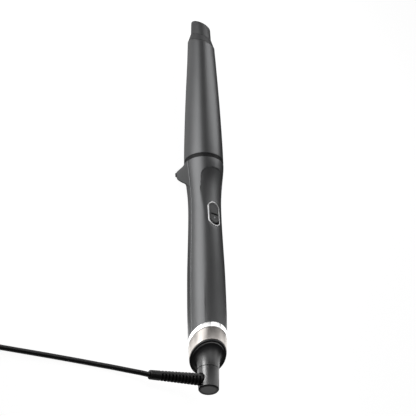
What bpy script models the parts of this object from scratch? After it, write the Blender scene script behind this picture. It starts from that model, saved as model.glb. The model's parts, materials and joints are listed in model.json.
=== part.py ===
"""Curling wand resting on its own stand, with its swivel cord and plug.

The wand is modelled upright in its own frame: +Z runs from the swivel to the cool tip, -Y faces the
power button and +X is to the side. An empty lays it down along world +Y, button up, tilted so that the
two stand pads and the bright ring at the cord end touch the table at Z = 0.
Lengths are in millimetres and go through MM, so that the scene is in metres.
"""
import math

import bmesh
import bpy
from mathutils import Vector

MM = 0.001
GAP = 0.3                      # clearance between neighbouring pieces

# Whole wand
TILT = math.radians(1.548)     # the axis climbs this much towards the tip
FRAME_Y = -179.44              # swivel end face, world Y
FRAME_Z = 15.78                # height of the axis above the table at the swivel end
ROUND = 36                     # facets of a large turned piece
ROUND_SMALL = 20               # facets of a small turned piece

# Handle, two half shells that meet at the sides
HANDLE_START = 46.9
HANDLE_END = 214.3
HANDLE_STATIONS = [
    (40.0, 16.0), (60.0, 16.2), (72.0, 16.27), (94.0, 16.0), (113.0, 15.6), (132.0, 14.9),
    (151.0, 14.2), (165.0, 13.85), (175.0, 13.8), (183.0, 14.05), (190.5, 14.6), (198.0, 15.3),
    (206.0, 16.1), (211.0, 16.5), (220.0, 16.6),
]
CAVITY_STATIONS = [
    (30.0, 14.1), (80.0, 14.1), (110.0, 13.4), (140.0, 12.2), (152.0, 10.6),
    (192.0, 10.6), (197.0, 12.2), (225.0, 12.2),
]

# Thumb recess and power button
RECESS_HALF_WIDTH = 10.9
RECESS_TOP = 205.0
RECESS_CORNER = 7.5
RECESS_BOTTOM = 140.0
RECESS_FLOOR_RADIUS = 18.0
FLOOR_START = 132.0            # the floor's grid: its first row, its spacing and its numbers of spaces
FLOOR_ROW_PITCH = 4.0
FLOOR_ROWS = 19
FLOOR_COLUMN_PITCH = 1.5
FLOOR_COLUMNS = 18
FLOOR_UNDERSIDE = 6.0
RECESS_FLOOR_STATIONS = [
    (136.0, 15.6), (146.0, 14.5), (154.0, 13.6), (161.3, 13.3), (175.0, 12.5), (184.0, 12.4),
    (191.0, 12.7), (196.0, 13.3), (200.0, 14.1), (203.0, 14.9), (208.0, 16.2),
]
BUTTON_Z = 161.3
BEZEL_HALF_WIDTH = 6.0
BEZEL_HALF_LENGTH = 12.0
BEZEL_WALL = 1.1
BEZEL_BACK = 9.9               # distance of its hidden edge from the axis
BUTTON_SHORT_END = 2.2         # extra gap under the lower end of the button
BUTTON_BACK = 9.0
LIGHT_Z = BUTTON_Z - 3.6
LIGHT_RADIUS = 0.8
LIGHT_TOP = 13.45              # distance of the light pipe's end from the axis
OUTSIDE = 24.0                 # farther from the axis than any surface of the handle
RECESS_LIMIT = 6.0             # no recess goes nearer the axis than this
BUTTON_LIMIT = 4.0             # and no button opening nearer than this
BLANK_TOP = 16.0               # height of the bezel and the button before they are cut to the floor

# Slanted ring stack at the cord end
BASE_SLOPE = 0.55              # mm along the axis for each mm towards the long side
BASE_DIRECTION = math.radians(-12.7)   # the long side, turned from the button towards +X
LEAN_END = 78.0                # rings above this height are level
LEAN_FADE = 25.0
RIM_Z = 30.4
RIM_RADIUS = 15.2
RIM_INNER = 13.6
NECK_Z = 19.3
NECK_RADIUS = 9.0
SPIGOT_RADIUS = 13.6
SPIGOT_END = 49.5
COLLAR_BOTTOM = 31.6
COLLAR_TOP = 42.3
RING_TOP = 46.6
RING_CROWN = 16.75
SLEEVE_INNER = SPIGOT_RADIUS + GAP
SPINDLE_BORE = 6.3

# Swivel
SWIVEL_TOP = NECK_Z - GAP
SWIVEL_RADIUS_TOP = 8.95
SWIVEL_RADIUS_END = 8.45
SWIVEL_WALL = 1.8
EXIT_Z = 9.5
RELIEF_DROP = math.radians(9.0)
RELIEF_BACK = math.radians(8.5)
RELIEF_START = 5.8
RELIEF_END = 55.0
RELIEF_RIBS_START = 10.0
RELIEF_RIBS_END = 47.0
RELIEF_RIBS = 9
RELIEF_GROOVE = 0.8
RELIEF_ROOT_RADIUS = 5.2
RELIEF_TIP_RADIUS = 3.9
SPINDLE_RADIUS = 4.5
SPINDLE_END = 70.0

# Barrel and tip
BAND_BOTTOM = HANDLE_END + GAP
BAND_TOP = 218.0
BAND_RADIUS = 16.5
BARREL_START = BAND_TOP + GAP
BARREL_END = 336.2
BARREL_WALL = 1.6
BARREL_STATIONS = [
    (210.0, 16.55), (226.0, 16.43), (250.0, 15.64), (270.0, 14.79), (290.5, 13.76), (311.0, 12.62),
    (324.0, 11.92), (330.2, 11.62), (333.5, 11.46), (335.4, 11.33), (336.2, 11.0), (337.0, 10.6),
]
BARREL_LIP_INNER = 8.7
BARREL_LIP = 1.4               # thickness of the lip that narrows its end
BAND_GROOVE = 0.4
MOUNT_RADIUS = 11.8
MOUNT_BORE = 8.0
MOUNT_HEAD_RADIUS = 14.2
MOUNT_START = 203.4
MOUNT_END = 234.0
INSULATOR_RADIUS = 9.3
INSULATOR_START = 325.0
INSULATOR_END = 329.5
TIP_SLANT_SEAM = (0.17, 0.34)  # mm along the axis for each mm towards +X and towards the button
TIP_SLANT_END = (0.36, 0.36)
TIP_LEAN_START = 318.0
SHOULDER_END = 342.7
SHOULDER_RADIUS = 8.9
SHOULDER_BASE_RADIUS = 10.8
TIP_RADIUS = 8.5
TIP_END_RADIUS = 8.0
TIP_FILLET = 1.6
TIP_END = 355.8
TIP_SPIGOT = 6.2

# Stand, part of the rear shell
STAND_SIDE = [(16.4, 0.6), (14.4, 19.6)]     # half width at a depth below the parting line
STAND_PROFILE = [(0.6, 214.0), (19.6, 213.5), (19.6, 206.8), (16.1, 202.4), (11.3, 198.4), (4.1, 192.5),
                 (0.6, 190.0)]
STAND_ARCH_HALF_WIDTH = 9.0
STAND_ARCH_TOP = 16.8
STAND_ARCH_CORNER = 2.0
STAND_REACH = (180.0, 222.0)   # the stand lies well between these heights
PAD_SIZE = (5.0, 3.8, 1.5)
PAD_X = 11.5
PAD_Z = 211.5

# Inside the handle
BOSS_RADIUS_FRONT = 3.2
BOSS_RADIUS_REAR = 4.2
BOSS_OVERLAP = 0.9             # how far a boss runs into its shell
BOSS_END = 0.5                 # distance of a boss's end from the parting line
PILOT_RADIUS = 1.5
PILOT_DEPTH = 10.0
SHANK_RADIUS = 1.7
SHANK_DEPTH = 12.0
SINK_RADIUS = 2.9
BOARD_TOP = 1.5                # below the axis
BOARD_THICKNESS = 1.6
BOARD_HALF_WIDTH = 9.0
BOARD_START = 98.0
BOARD_END = 192.0
SCREW_Z = (86.0, 197.5)
SCREW_HEAD_Y = 9.0
SCREW_TIP_Y = -7.5
SCREW_HEAD_RADIUS = 2.5
SCREW_HEAD_HEIGHT = 1.7
SCREW_RADIUS = 1.2
SWITCH_HALF = 3.0              # half the switch's width and length
SWITCH_TOP = 3.0               # its top and its bore's floor, above the axis
SWITCH_FLOOR = 1.1
PLUNGER_RADIUS = 1.6
PLUNGER_FOOT = 2.3
TRIAC_SIZE = (10.0, 4.4, 10.0) # width, height on the board and length
TRIAC_Z = 109.0
CHIP_SIZE = (7.0, 1.4, 7.0)
CHIP_Z = 136.5
CAPACITOR = (123.0, 4.0, 8.0)  # place along the wand, radius and height on the board
INDICATOR = (153.5, 1.5, 3.0)
BUZZER = (178.0, 4.2, 4.0)
CLIP_Z = 35.2
CLIP_RADIUS = 7.5
CLIP_THICKNESS = 1.0
SLIP_RINGS = (("live", 58.2, 1), ("neutral", 64.2, -1))    # name, lower edge and the brush's side
SLIP_RING_WIDTH = 3.0
BRUSH_WIDTH = 2.4
BRUSH_INSET = 0.2              # a brush is this much narrower than its ring at each edge
HOLDER_INNER = 9.2
HOLDER_OUTER = 13.5
HOLDER_START = 57.8
HOLDER_END = 68.7
RING_THICKNESS = 1.2           # slip rings on the spindle's sleeve

# Heater
SPREADER_START = 238.0
SPREADER_END = 322.0
SPREADER_PLAY = 0.4            # to the inside of the barrel
PLATE_THICKNESS = 2.0
PLATE_HALF_WIDTH = 8.0
PLATE_START = 240.0
PLATE_END = 320.0

# Cord: a 4.4 mm two-core lead, 2.7 m from the relief to the plug
CORD_DIAMETER = 4.4
CORD_ROUTE = [
    (-54.0, -177.9, 7.25), (-61.5, -177.9, 5.9), (-70.0, -178.3, 4.55), (-80.0, -179.0, 3.4),
    (-90.0, -180.0, 2.7), (-101.0, -181.5, 2.3), (-120.0, -184.4, 2.3), (-150.0, -189.2, 2.3),
    (-180.0, -194.2, 2.3), (-210.0, -199.2, 2.3), (-232.3, -203.1, 2.3),
]
COIL_CENTRE = (-255.0, -174.5)
COIL_RADIUS = 25.0             # middle of the turns
COIL_WIDTH = 18.0
COIL_HEIGHT = 18.0
TAIL_ROUTE = [
    (-289.4, -155.0, 2.3), (-287.2, -149.5, 2.3), (-285.2, -143.0, 3.6), (-284.0, -137.0, 5.9),
    (-284.0, -132.0, 7.0), (-284.0, -127.6, 7.0),
]
TIE_ANGLE = math.radians(20.0)
TIE_WIDTH = 8.0
TIE_THICKNESS = 1.0
PLUG_X = -284.0
PLUG_Y = -127.2
PLUG_HEIGHT = 7.0
PLUG_LENGTH = 34.0
PIN_LENGTH = 19.0
PIN_SPACING = 9.5
PIN_RADIUS = 2.0


def clear_scene():
    """Remove every object, so that a second run starts clean."""
    for item in list(bpy.data.objects):
        bpy.data.objects.remove(item, do_unlink=True)


def material(name, colour, roughness, metallic=0.0):
    """Principled material with a flat colour."""
    result = bpy.data.materials.new(name)
    result.use_nodes = True
    shader = result.node_tree.nodes["Principled BSDF"]
    shader.inputs["Base Color"].default_value = (*colour, 1.0)
    shader.inputs["Roughness"].default_value = roughness
    shader.inputs["Metallic"].default_value = metallic
    return result


def through(stations, z):
    """Smooth curve through (z, value) stations, read at z."""
    if z <= stations[0][0]:
        return stations[0][1]
    if z >= stations[-1][0]:
        return stations[-1][1]
    index = max(i for i, station in enumerate(stations[:-1]) if station[0] <= z)
    z0, v0 = stations[index]
    z1, v1 = stations[index + 1]
    before = stations[max(index - 1, 0)]
    after = stations[min(index + 2, len(stations) - 1)]
    span = z1 - z0
    slope0 = (v1 - before[1]) / (z1 - before[0]) * span
    slope1 = (after[1] - v0) / (after[0] - z0) * span
    t = (z - z0) / span
    return ((2 * t**3 - 3 * t**2 + 1) * v0 + (t**3 - 2 * t**2 + t) * slope0
            + (3 * t**2 - 2 * t**3) * v1 + (t**3 - t**2) * slope1)


def base_lean(z):
    """How far the slant of the cord end still reaches at height z, from 1 at the rim to 0."""
    if z < RIM_Z:
        return max(0.0, (z - NECK_Z) / (RIM_Z - NECK_Z))
    return max(0.0, min(1.0, (LEAN_END - z) / LEAN_FADE))


def slant_base(co):
    """Slide a point along the axis so that level rings become the slanted ones."""
    towards = co.x * math.sin(BASE_DIRECTION) - co.y * math.cos(BASE_DIRECTION)
    return Vector((co.x, co.y, co.z + BASE_SLOPE * towards * base_lean(co.z)))


def slant_tip(co):
    """The same for the tip, whose short side lies between the button and +X."""
    grow = max(0.0, (co.z - BARREL_END) / (TIP_END - BARREL_END))
    reach = max(0.0, min(1.0, (co.z - TIP_LEAN_START) / (BARREL_END - TIP_LEAN_START)))
    side, front = (seam + (end - seam) * grow for seam, end in zip(TIP_SLANT_SEAM, TIP_SLANT_END))
    return Vector((co.x, co.y, co.z - reach * (side * co.x - front * co.y)))


def finish_mesh(name, bm, finish, parent, cutter=False):
    """Turn a bmesh in millimetres into a named object in metres."""
    bmesh.ops.scale(bm, vec=(MM, MM, MM), verts=bm.verts)
    bmesh.ops.recalc_face_normals(bm, faces=bm.faces)
    mesh = bpy.data.meshes.new(name)
    bm.to_mesh(mesh)
    bm.free()
    mesh.shade_smooth()
    mesh.set_sharp_from_angle(angle=math.radians(30))
    item = bpy.data.objects.new(name, mesh)
    bpy.context.scene.collection.objects.link(item)
    item.parent = parent
    if finish:
        mesh.materials.append(finish)
    if cutter:
        item.hide_render = True
        item.display_type = "WIRE"
    return item


def turned(name, profile, finish=None, parent=None, steps=ROUND, slant=None, cutter=False):
    """Solid of revolution about Z from (radius, z) points.

    A profile that starts and ends on the axis is open there; any other closes on itself.
    """
    bm = bmesh.new()
    verts = [bm.verts.new((radius, 0.0, z)) for radius, z in profile]
    edges = [bm.edges.new(pair) for pair in zip(verts, verts[1:])]
    if profile[0][0] > 0 or profile[-1][0] > 0:
        edges.append(bm.edges.new((verts[-1], verts[0])))
    bmesh.ops.spin(bm, geom=verts + edges, cent=(0, 0, 0), axis=(0, 0, 1), angle=2 * math.pi,
                   steps=steps, use_merge=True)
    bmesh.ops.remove_doubles(bm, verts=bm.verts, dist=1e-4)
    if slant:
        for vert in bm.verts:
            vert.co = slant(vert.co)
    return finish_mesh(name, bm, finish, parent, cutter)


def half_turned(name, stations, side, finish, parent, steps, slant=None, flat=0.0):
    """Solid half of a round body through (z, radius) stations, side -1 towards -Y, +1 towards +Y.

    flat is the distance of the flat face from the axis.
    """
    bm = bmesh.new()
    rows = []
    for z, radius in stations:
        start = math.asin(flat / radius)
        row = []
        for step in range(steps + 1):
            angle = start + (math.pi - 2 * start) * step / steps
            co = Vector((radius * math.cos(angle), side * radius * math.sin(angle), z))
            row.append(bm.verts.new(slant(co) if slant else co))
        rows.append(row)
    for low, high in zip(rows, rows[1:]):
        for i in range(steps):
            bm.faces.new((low[i], low[i + 1], high[i + 1], high[i]))
        bm.faces.new((low[-1], low[0], high[0], high[-1]))
    bm.faces.new(rows[0])
    bm.faces.new(rows[-1])
    return finish_mesh(name, bm, finish, parent)


def prism(name, outline, axis, low, high, finish=None, parent=None, cutter=False):
    """Extrude a closed outline along X, Y or Z from low to high.

    The outline's pairs are the other two coordinates, in alphabetical order.
    """
    bm = bmesh.new()
    place = {"X": lambda a, b: (low, a, b), "Y": lambda a, b: (a, low, b), "Z": lambda a, b: (a, b, low)}
    face = bm.faces.new([bm.verts.new(place[axis](a, b)) for a, b in outline])
    extruded = bmesh.ops.extrude_face_region(bm, geom=[face])["geom"]
    moved = [item for item in extruded if isinstance(item, bmesh.types.BMVert)]
    shift = {"X": (high - low, 0, 0), "Y": (0, high - low, 0), "Z": (0, 0, high - low)}[axis]
    bmesh.ops.translate(bm, verts=moved, vec=shift)
    return finish_mesh(name, bm, finish, parent, cutter)


def box(name, low, high, finish=None, parent=None, cutter=False):
    """Block between two corners."""
    outline = [(low[0], low[1]), (high[0], low[1]), (high[0], high[1]), (low[0], high[1])]
    return prism(name, outline, "Z", low[2], high[2], finish, parent, cutter)


def pillar(name, centre, radius, low, high, finish=None, parent=None, cutter=False, steps=ROUND_SMALL):
    """Round bar along Y at centre (x, z)."""
    outline = [(centre[0] + radius * math.cos(2 * math.pi * i / steps),
                centre[1] + radius * math.sin(2 * math.pi * i / steps)) for i in range(steps)]
    return prism(name, outline, "Y", low, high, finish, parent, cutter)


def rod(name, centre, radius, low, high, finish, parent, steps=12):
    """Round bar along Z at centre (x, y)."""
    outline = [(centre[0] + radius * math.cos(2 * math.pi * i / steps),
                centre[1] + radius * math.sin(2 * math.pi * i / steps)) for i in range(steps)]
    return prism(name, outline, "Z", low, high, finish, parent)


def boolean(item, cutter, operation="DIFFERENCE"):
    """Add a Boolean with the exact solver."""
    modifier = item.modifiers.new(operation.lower() + "_" + cutter.name, "BOOLEAN")
    modifier.operation = operation
    modifier.object = cutter
    modifier.solver = "EXACT"


def tube(name, points, diameter, finish, parent=None):
    """Round lead along points in millimetres."""
    curve = bpy.data.curves.new(name, "CURVE")
    curve.dimensions = "3D"
    curve.bevel_depth = diameter / 2 * MM
    curve.bevel_resolution = 2
    curve.use_fill_caps = True
    spline = curve.splines.new("POLY")
    spline.points.add(len(points) - 1)
    for target, co in zip(spline.points, points):
        target.co = (co[0] * MM, co[1] * MM, co[2] * MM, 1.0)
    curve.materials.append(finish)
    item = bpy.data.objects.new(name, curve)
    bpy.context.scene.collection.objects.link(item)
    item.parent = parent
    return item


def smooth_route(route, step):
    """Points about a step apart on the smooth curve through a route."""
    result = []
    last = len(route) - 1
    for i in range(last):
        p0, p1, p2, p3 = (Vector(route[max(0, min(last, i + k))]) for k in (-1, 0, 1, 2))
        pieces = max(1, round((p2 - p1).length / step))
        for k in range(pieces):
            t = k / pieces
            result.append(0.5 * ((2 * p1) + (p2 - p0) * t + (2 * p0 - 5 * p1 + 4 * p2 - p3) * t**2
                                 + (3 * p1 - p0 - 3 * p2 + p3) * t**3))
    result.append(Vector(route[-1]))
    return result


def stadium(half_width, top, bottom, steps=8):
    """Closed outline with round ends, from z = bottom to z = top."""
    points = []
    for centre, start in ((top - half_width, 0.0), (bottom + half_width, math.pi)):
        for i in range(steps + 1):
            angle = start + math.pi * i / steps
            points.append((half_width * math.cos(angle), centre + half_width * math.sin(angle)))
    return points


def floor_body(name, lift, parent):
    """Everything below the recess floor raised by lift, as a cutting guide."""
    bm = bmesh.new()
    rows = []
    across = [FLOOR_COLUMN_PITCH * (i - FLOOR_COLUMNS / 2) for i in range(FLOOR_COLUMNS + 1)]
    heights = [FLOOR_START + FLOOR_ROW_PITCH * i for i in range(FLOOR_ROWS + 1)]
    for z in heights:
        crown = through(RECESS_FLOOR_STATIONS, z) + lift - RECESS_FLOOR_RADIUS
        row = [(x, -crown - math.sqrt(RECESS_FLOOR_RADIUS**2 - x**2), z) for x in across]
        row += [(across[-1], FLOOR_UNDERSIDE, z), (across[0], FLOOR_UNDERSIDE, z)]
        rows.append([bm.verts.new(co) for co in row])
    count = len(rows[0])
    for low, high in zip(rows, rows[1:]):
        for i in range(count):
            j = (i + 1) % count
            bm.faces.new((low[i], low[j], high[j], high[i]))
    bm.faces.new(rows[0])
    bm.faces.new(rows[-1])
    return finish_mesh(name, bm, None, parent, cutter=True)


def recess_outline():
    """Outline of the thumb recess seen from above: straight sides and a round-cornered top."""
    side = RECESS_HALF_WIDTH
    corner = RECESS_CORNER
    points = [(-side, RECESS_BOTTOM), (side, RECESS_BOTTOM)]
    for i in range(7):
        angle = math.pi / 2 * i / 6
        points.append((side - corner + corner * math.cos(angle),
                       RECESS_TOP - corner + corner * math.sin(angle)))
    points += [(-x, z) for x, z in reversed(points[2:])]
    return points


def stations_between(start, end, pitch):
    """Heights from start to end about a pitch apart."""
    count = max(1, round((end - start) / pitch))
    return [start + (end - start) * i / count for i in range(count + 1)]


def shell_body(name, side, finish, wand):
    """Half of the handle as a full body with its hollow cut out."""
    stations = [(z, through(HANDLE_STATIONS, z)) for z in stations_between(HANDLE_START, HANDLE_END, 9.5)]
    return half_turned(name, stations, side, finish, wand, steps=20, slant=slant_base, flat=GAP / 2)


def cut_hollow(shell, wand):
    """Open the shell along its whole length."""
    profile = [(0.0, 30.0)]
    profile += [(radius, z) for z, radius in CAVITY_STATIONS]
    profile.append((0.0, 225.0))
    hollow = turned("hollow_" + shell.name, profile, None, wand, steps=24, cutter=True)
    boolean(shell, hollow)


def make_front_shell(finish, wand):
    """Upper half of the handle, with the thumb recess and the button opening."""
    shell = shell_body("front_shell", -1, finish, wand)
    cut_hollow(shell, wand)
    recess = prism("recess_outline", recess_outline(), "Y", -OUTSIDE, -RECESS_LIMIT, None, wand, cutter=True)
    boolean(recess, floor_body("recess_floor", 0.0, wand))
    boolean(shell, recess)
    opening = stadium(BEZEL_HALF_WIDTH + GAP, BUTTON_Z + BEZEL_HALF_LENGTH + GAP,
                      BUTTON_Z - BEZEL_HALF_LENGTH - GAP)
    boolean(shell, prism("button_opening", opening, "Y", -OUTSIDE, -BUTTON_LIMIT, None, wand, cutter=True))
    for index, z in enumerate(SCREW_Z):
        top = -through(CAVITY_STATIONS, z) - BOSS_OVERLAP
        boss = pillar("front_boss_%d" % index, (0.0, z), BOSS_RADIUS_FRONT, top, -BOSS_END, None, wand,
                      cutter=True)
        boolean(shell, boss, "UNION")
        pilot = pillar("pilot_%d" % index, (0.0, z), PILOT_RADIUS, -PILOT_DEPTH, BOSS_END, None, wand,
                       cutter=True)
        boolean(shell, pilot)


def make_rear_shell(finish, wand):
    """Lower half of the handle, with the two-footed stand moulded on it."""
    shell = shell_body("rear_shell", 1, finish, wand)
    stand = prism("stand_block", STAND_PROFILE, "X", -OUTSIDE, OUTSIDE, None, wand, cutter=True)
    outline = STAND_SIDE + [(-x, y) for x, y in reversed(STAND_SIDE)]
    boolean(stand, prism("stand_sides", outline, "Z", *STAND_REACH, None, wand, cutter=True), "INTERSECT")
    half = STAND_ARCH_HALF_WIDTH
    inner = half - STAND_ARCH_CORNER
    spring = STAND_ARCH_TOP + STAND_ARCH_CORNER
    arch = [(-half, OUTSIDE), (half, OUTSIDE), (half, spring), (inner, STAND_ARCH_TOP),
            (-inner, STAND_ARCH_TOP), (-half, spring)]
    boolean(stand, prism("stand_arch", arch, "Z", *STAND_REACH, None, wand, cutter=True))
    boolean(shell, stand, "UNION")
    cut_hollow(shell, wand)
    for index, z in enumerate(SCREW_Z):
        deep = through(CAVITY_STATIONS, z) + BOSS_OVERLAP
        boss = pillar("rear_boss_%d" % index, (0.0, z), BOSS_RADIUS_REAR, BOSS_END, deep, None, wand,
                      cutter=True)
        boolean(shell, boss, "UNION")
        shank = pillar("shank_%d" % index, (0.0, z), SHANK_RADIUS, -BOSS_END, SHANK_DEPTH, None, wand,
                       cutter=True)
        boolean(shell, shank)
        sink = pillar("sink_%d" % index, (0.0, z), SINK_RADIUS, SCREW_HEAD_Y - GAP, OUTSIDE, None, wand,
                      cutter=True)
        boolean(shell, sink)


def make_stand_pads(finish):
    """Rubber feet, level with the table."""
    for side, name in ((-1, "stand_pad_left"), (1, "stand_pad_right")):
        width, length, height = PAD_SIZE
        centre_y = FRAME_Y + PAD_Z * math.cos(TILT) + STAND_PROFILE[1][0] * math.sin(TILT)
        pad = box(name, (side * PAD_X - width / 2, centre_y - length / 2, 0.0),
                  (side * PAD_X + width / 2, centre_y + length / 2, height), finish)
        bevel = pad.modifiers.new("round_corners", "BEVEL")
        bevel.width = 0.4 * MM
        bevel.segments = 2


def make_screws(finish, wand):
    """Two screws that hold the half shells together."""
    length = SCREW_HEAD_Y - SCREW_TIP_Y
    profile = [(0.0, 0.0), (SCREW_HEAD_RADIUS, 0.0), (SCREW_HEAD_RADIUS, SCREW_HEAD_HEIGHT),
               (SCREW_RADIUS, SCREW_HEAD_HEIGHT), (SCREW_RADIUS, length), (0.0, length + 1.0)]
    for index, z in enumerate(SCREW_Z):
        screw = turned("shell_screw_%d" % (index + 1), profile, finish, wand, steps=12)
        screw.rotation_euler = (math.pi / 2, 0.0, 0.0)
        screw.location = (0.0, (SCREW_HEAD_Y + SCREW_HEAD_HEIGHT) * MM, z * MM)


def make_button(bezel_finish, button_finish, light_finish, wand):
    """Bright bezel, and the button that slides in it with its light pipe."""
    top = BUTTON_Z + BEZEL_HALF_LENGTH
    bottom = BUTTON_Z - BEZEL_HALF_LENGTH
    bezel = prism("button_bezel", stadium(BEZEL_HALF_WIDTH, top, bottom), "Y", -BLANK_TOP, -BEZEL_BACK,
                  bezel_finish, wand)
    inner = stadium(BEZEL_HALF_WIDTH - BEZEL_WALL, top - BEZEL_WALL, bottom + BEZEL_WALL)
    boolean(bezel, prism("bezel_hole", inner, "Y", -OUTSIDE, -BUTTON_LIMIT, None, wand, cutter=True))
    boolean(bezel, floor_body("bezel_crown", 0.3, wand), "INTERSECT")
    play = BEZEL_WALL + GAP
    outline = stadium(BEZEL_HALF_WIDTH - play, top - play, bottom + play + BUTTON_SHORT_END)
    button = prism("power_button", outline, "Y", -BLANK_TOP, -BUTTON_BACK, button_finish, wand)
    boolean(button, floor_body("button_crown", 0.1, wand), "INTERSECT")
    boolean(button, pillar("light_hole", (0.0, LIGHT_Z), LIGHT_RADIUS + GAP, -OUTSIDE, -BUTTON_LIMIT, None,
                           wand, cutter=True, steps=12))
    pillar("light_pipe", (0.0, LIGHT_Z), LIGHT_RADIUS, -LIGHT_TOP, -BUTTON_BACK, light_finish, wand,
           steps=12)


def make_switch(body_finish, plunger_finish, wand):
    """Tact switch on the board and the plunger that the button pushes into it."""
    switch = box("tact_switch", (-SWITCH_HALF, -SWITCH_TOP, BUTTON_Z - SWITCH_HALF),
                 (SWITCH_HALF, BOARD_TOP - GAP, BUTTON_Z + SWITCH_HALF), body_finish, wand)
    bore = PLUNGER_RADIUS + GAP
    boolean(switch, pillar("switch_bore", (0.0, BUTTON_Z), bore, -2 * SWITCH_TOP, -SWITCH_FLOOR, None, wand,
                           cutter=True, steps=16))
    pillar("switch_plunger", (0.0, BUTTON_Z), PLUNGER_RADIUS, GAP - BUTTON_BACK, -PLUNGER_FOOT,
           plunger_finish, wand, steps=12)


def make_board(finishes, wand):
    """Circuit board and what is soldered on it."""
    box("circuit_board", (-BOARD_HALF_WIDTH, BOARD_TOP, BOARD_START),
        (BOARD_HALF_WIDTH, BOARD_TOP + BOARD_THICKNESS, BOARD_END), finishes["board"], wand)
    foot = BOARD_TOP - GAP
    for name, (width, height, length), z in (
            ("triac", TRIAC_SIZE, TRIAC_Z), ("control_chip", CHIP_SIZE, CHIP_Z)):
        box(name, (-width / 2, foot - height, z - length / 2), (width / 2, foot, z + length / 2),
            finishes["chip"], wand)
    for name, (z, radius, height), finish, steps in (
            ("capacitor", CAPACITOR, "capacitor", 16), ("indicator_led", INDICATOR, "light", 12),
            ("buzzer", BUZZER, "chip", 16)):
        pillar(name, (0.0, z), radius, foot - height, foot, finishes[finish], wand, steps=steps)


def make_base_rings(finishes, wand):
    """Bright ring, satin collar and the black end cap with its trumpet neck."""
    low = COLLAR_TOP + GAP
    crown = [(SLEEVE_INNER, low), (16.1, low), (16.6, low + 0.7), (RING_CROWN, (low + RING_TOP) / 2),
             (16.6, RING_TOP - 0.7), (16.2, RING_TOP), (SLEEVE_INNER, RING_TOP)]
    turned("chrome_ring", crown, finishes["chrome"], wand, slant=slant_base)
    collar = [(SLEEVE_INNER, COLLAR_BOTTOM), (15.3, COLLAR_BOTTOM), (15.45, COLLAR_BOTTOM + 0.4),
              (16.0, COLLAR_TOP), (SLEEVE_INNER, COLLAR_TOP)]
    turned("metal_collar", collar, finishes["collar"], wand, slant=slant_base)
    horn = []
    for i in range(7):
        angle = math.pi / 2 * i / 6
        horn.append((RIM_INNER - (RIM_INNER - NECK_RADIUS) * math.cos(angle),
                     NECK_Z + (RIM_Z - 0.5 - NECK_Z) * math.sin(angle)))
    cap = [(SPINDLE_BORE, NECK_Z)] + horn
    cap += [(RIM_INNER + 0.2, RIM_Z), (RIM_RADIUS - 0.2, RIM_Z), (RIM_RADIUS, RIM_Z + 0.3),
            (RIM_RADIUS, COLLAR_BOTTOM - GAP), (SPIGOT_RADIUS, COLLAR_BOTTOM - GAP),
            (SPIGOT_RADIUS, SPIGOT_END), (SPIGOT_RADIUS - 1.6, SPIGOT_END),
            (SPIGOT_RADIUS - 1.6, 34.0), (10.0, 32.2), (7.8, 30.5), (SPINDLE_BORE, 29.5)]
    turned("end_cap", cap, finishes["black"], wand, slant=slant_base)


def swivel_exit():
    """Direction in which the cord leaves the swivel."""
    flat = math.cos(RELIEF_BACK)
    return Vector((-math.cos(RELIEF_DROP) * flat, math.sin(RELIEF_DROP) * flat, -math.sin(RELIEF_BACK)))


def make_swivel(finishes, wand):
    """Turning housing with its end disc, spindle, slip rings, clip and strain relief."""
    inner = SWIVEL_RADIUS_END - SWIVEL_WALL
    housing_profile = [
        (SPINDLE_RADIUS + GAP, SWIVEL_TOP), (SWIVEL_RADIUS_TOP, SWIVEL_TOP), (SWIVEL_RADIUS_END, 1.0),
        (SWIVEL_RADIUS_END - 0.6, 0.0), (7.3, 0.0), (7.3, 2.0), (inner, 2.0), (inner, 16.6),
        (SPINDLE_RADIUS + GAP, 16.6),
    ]
    housing = turned("swivel_housing", housing_profile, finishes["black"], wand)
    aim = swivel_exit().to_track_quat("Z", "Y").to_euler()
    centre = Vector((0.0, 0.0, EXIT_Z * MM))
    bore = RELIEF_ROOT_RADIUS + GAP
    socket = turned("relief_socket", [(0.0, 3.0), (bore, 3.0), (bore, 14.0), (0.0, 14.0)], None, wand,
                    steps=24, cutter=True)
    socket.location = centre
    socket.rotation_euler = aim
    boolean(housing, socket)
    turned("swivel_end_disc", [(0.0, 1.7), (7.0, 1.7), (7.0, 0.3), (6.7, 0.0), (0.0, 0.0)],
           finishes["black"], wand, steps=36)
    spindle = [(2.4, 15.0), (2.4, SPINDLE_END), (SPINDLE_RADIUS, SPINDLE_END), (SPINDLE_RADIUS, 16.3),
               (inner - GAP, 16.3), (inner - GAP, 15.0)]
    turned("swivel_spindle", spindle, finishes["black"], wand, steps=24)
    make_contacts(finishes, wand)
    relief = turned("strain_relief", relief_profile(), finishes["rubber"], wand, steps=14)
    relief.location = centre
    relief.rotation_euler = aim


def relief_profile():
    """Tapered relief with ribs, from its root in the housing to the collar at its thin end."""
    pitch = (RELIEF_RIBS_END - RELIEF_RIBS_START) / RELIEF_RIBS
    profile = [(0.0, RELIEF_START), (RELIEF_ROOT_RADIUS, RELIEF_START)]
    for i in range(RELIEF_RIBS):
        low = RELIEF_RIBS_START + pitch * i
        share = (low - RELIEF_START) / (RELIEF_END - RELIEF_START)
        radius = RELIEF_ROOT_RADIUS + (RELIEF_TIP_RADIUS - RELIEF_ROOT_RADIUS) * share
        profile += [(radius, low), (radius - RELIEF_GROOVE, low + 0.3),
                    (radius - RELIEF_GROOVE, low + 0.4 * pitch), (radius - 0.05, low + 0.5 * pitch)]
    profile += [(RELIEF_TIP_RADIUS, RELIEF_RIBS_END), (RELIEF_TIP_RADIUS, RELIEF_END - 0.6),
                (RELIEF_TIP_RADIUS - 0.6, RELIEF_END), (0.0, RELIEF_END)]
    return profile


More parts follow.
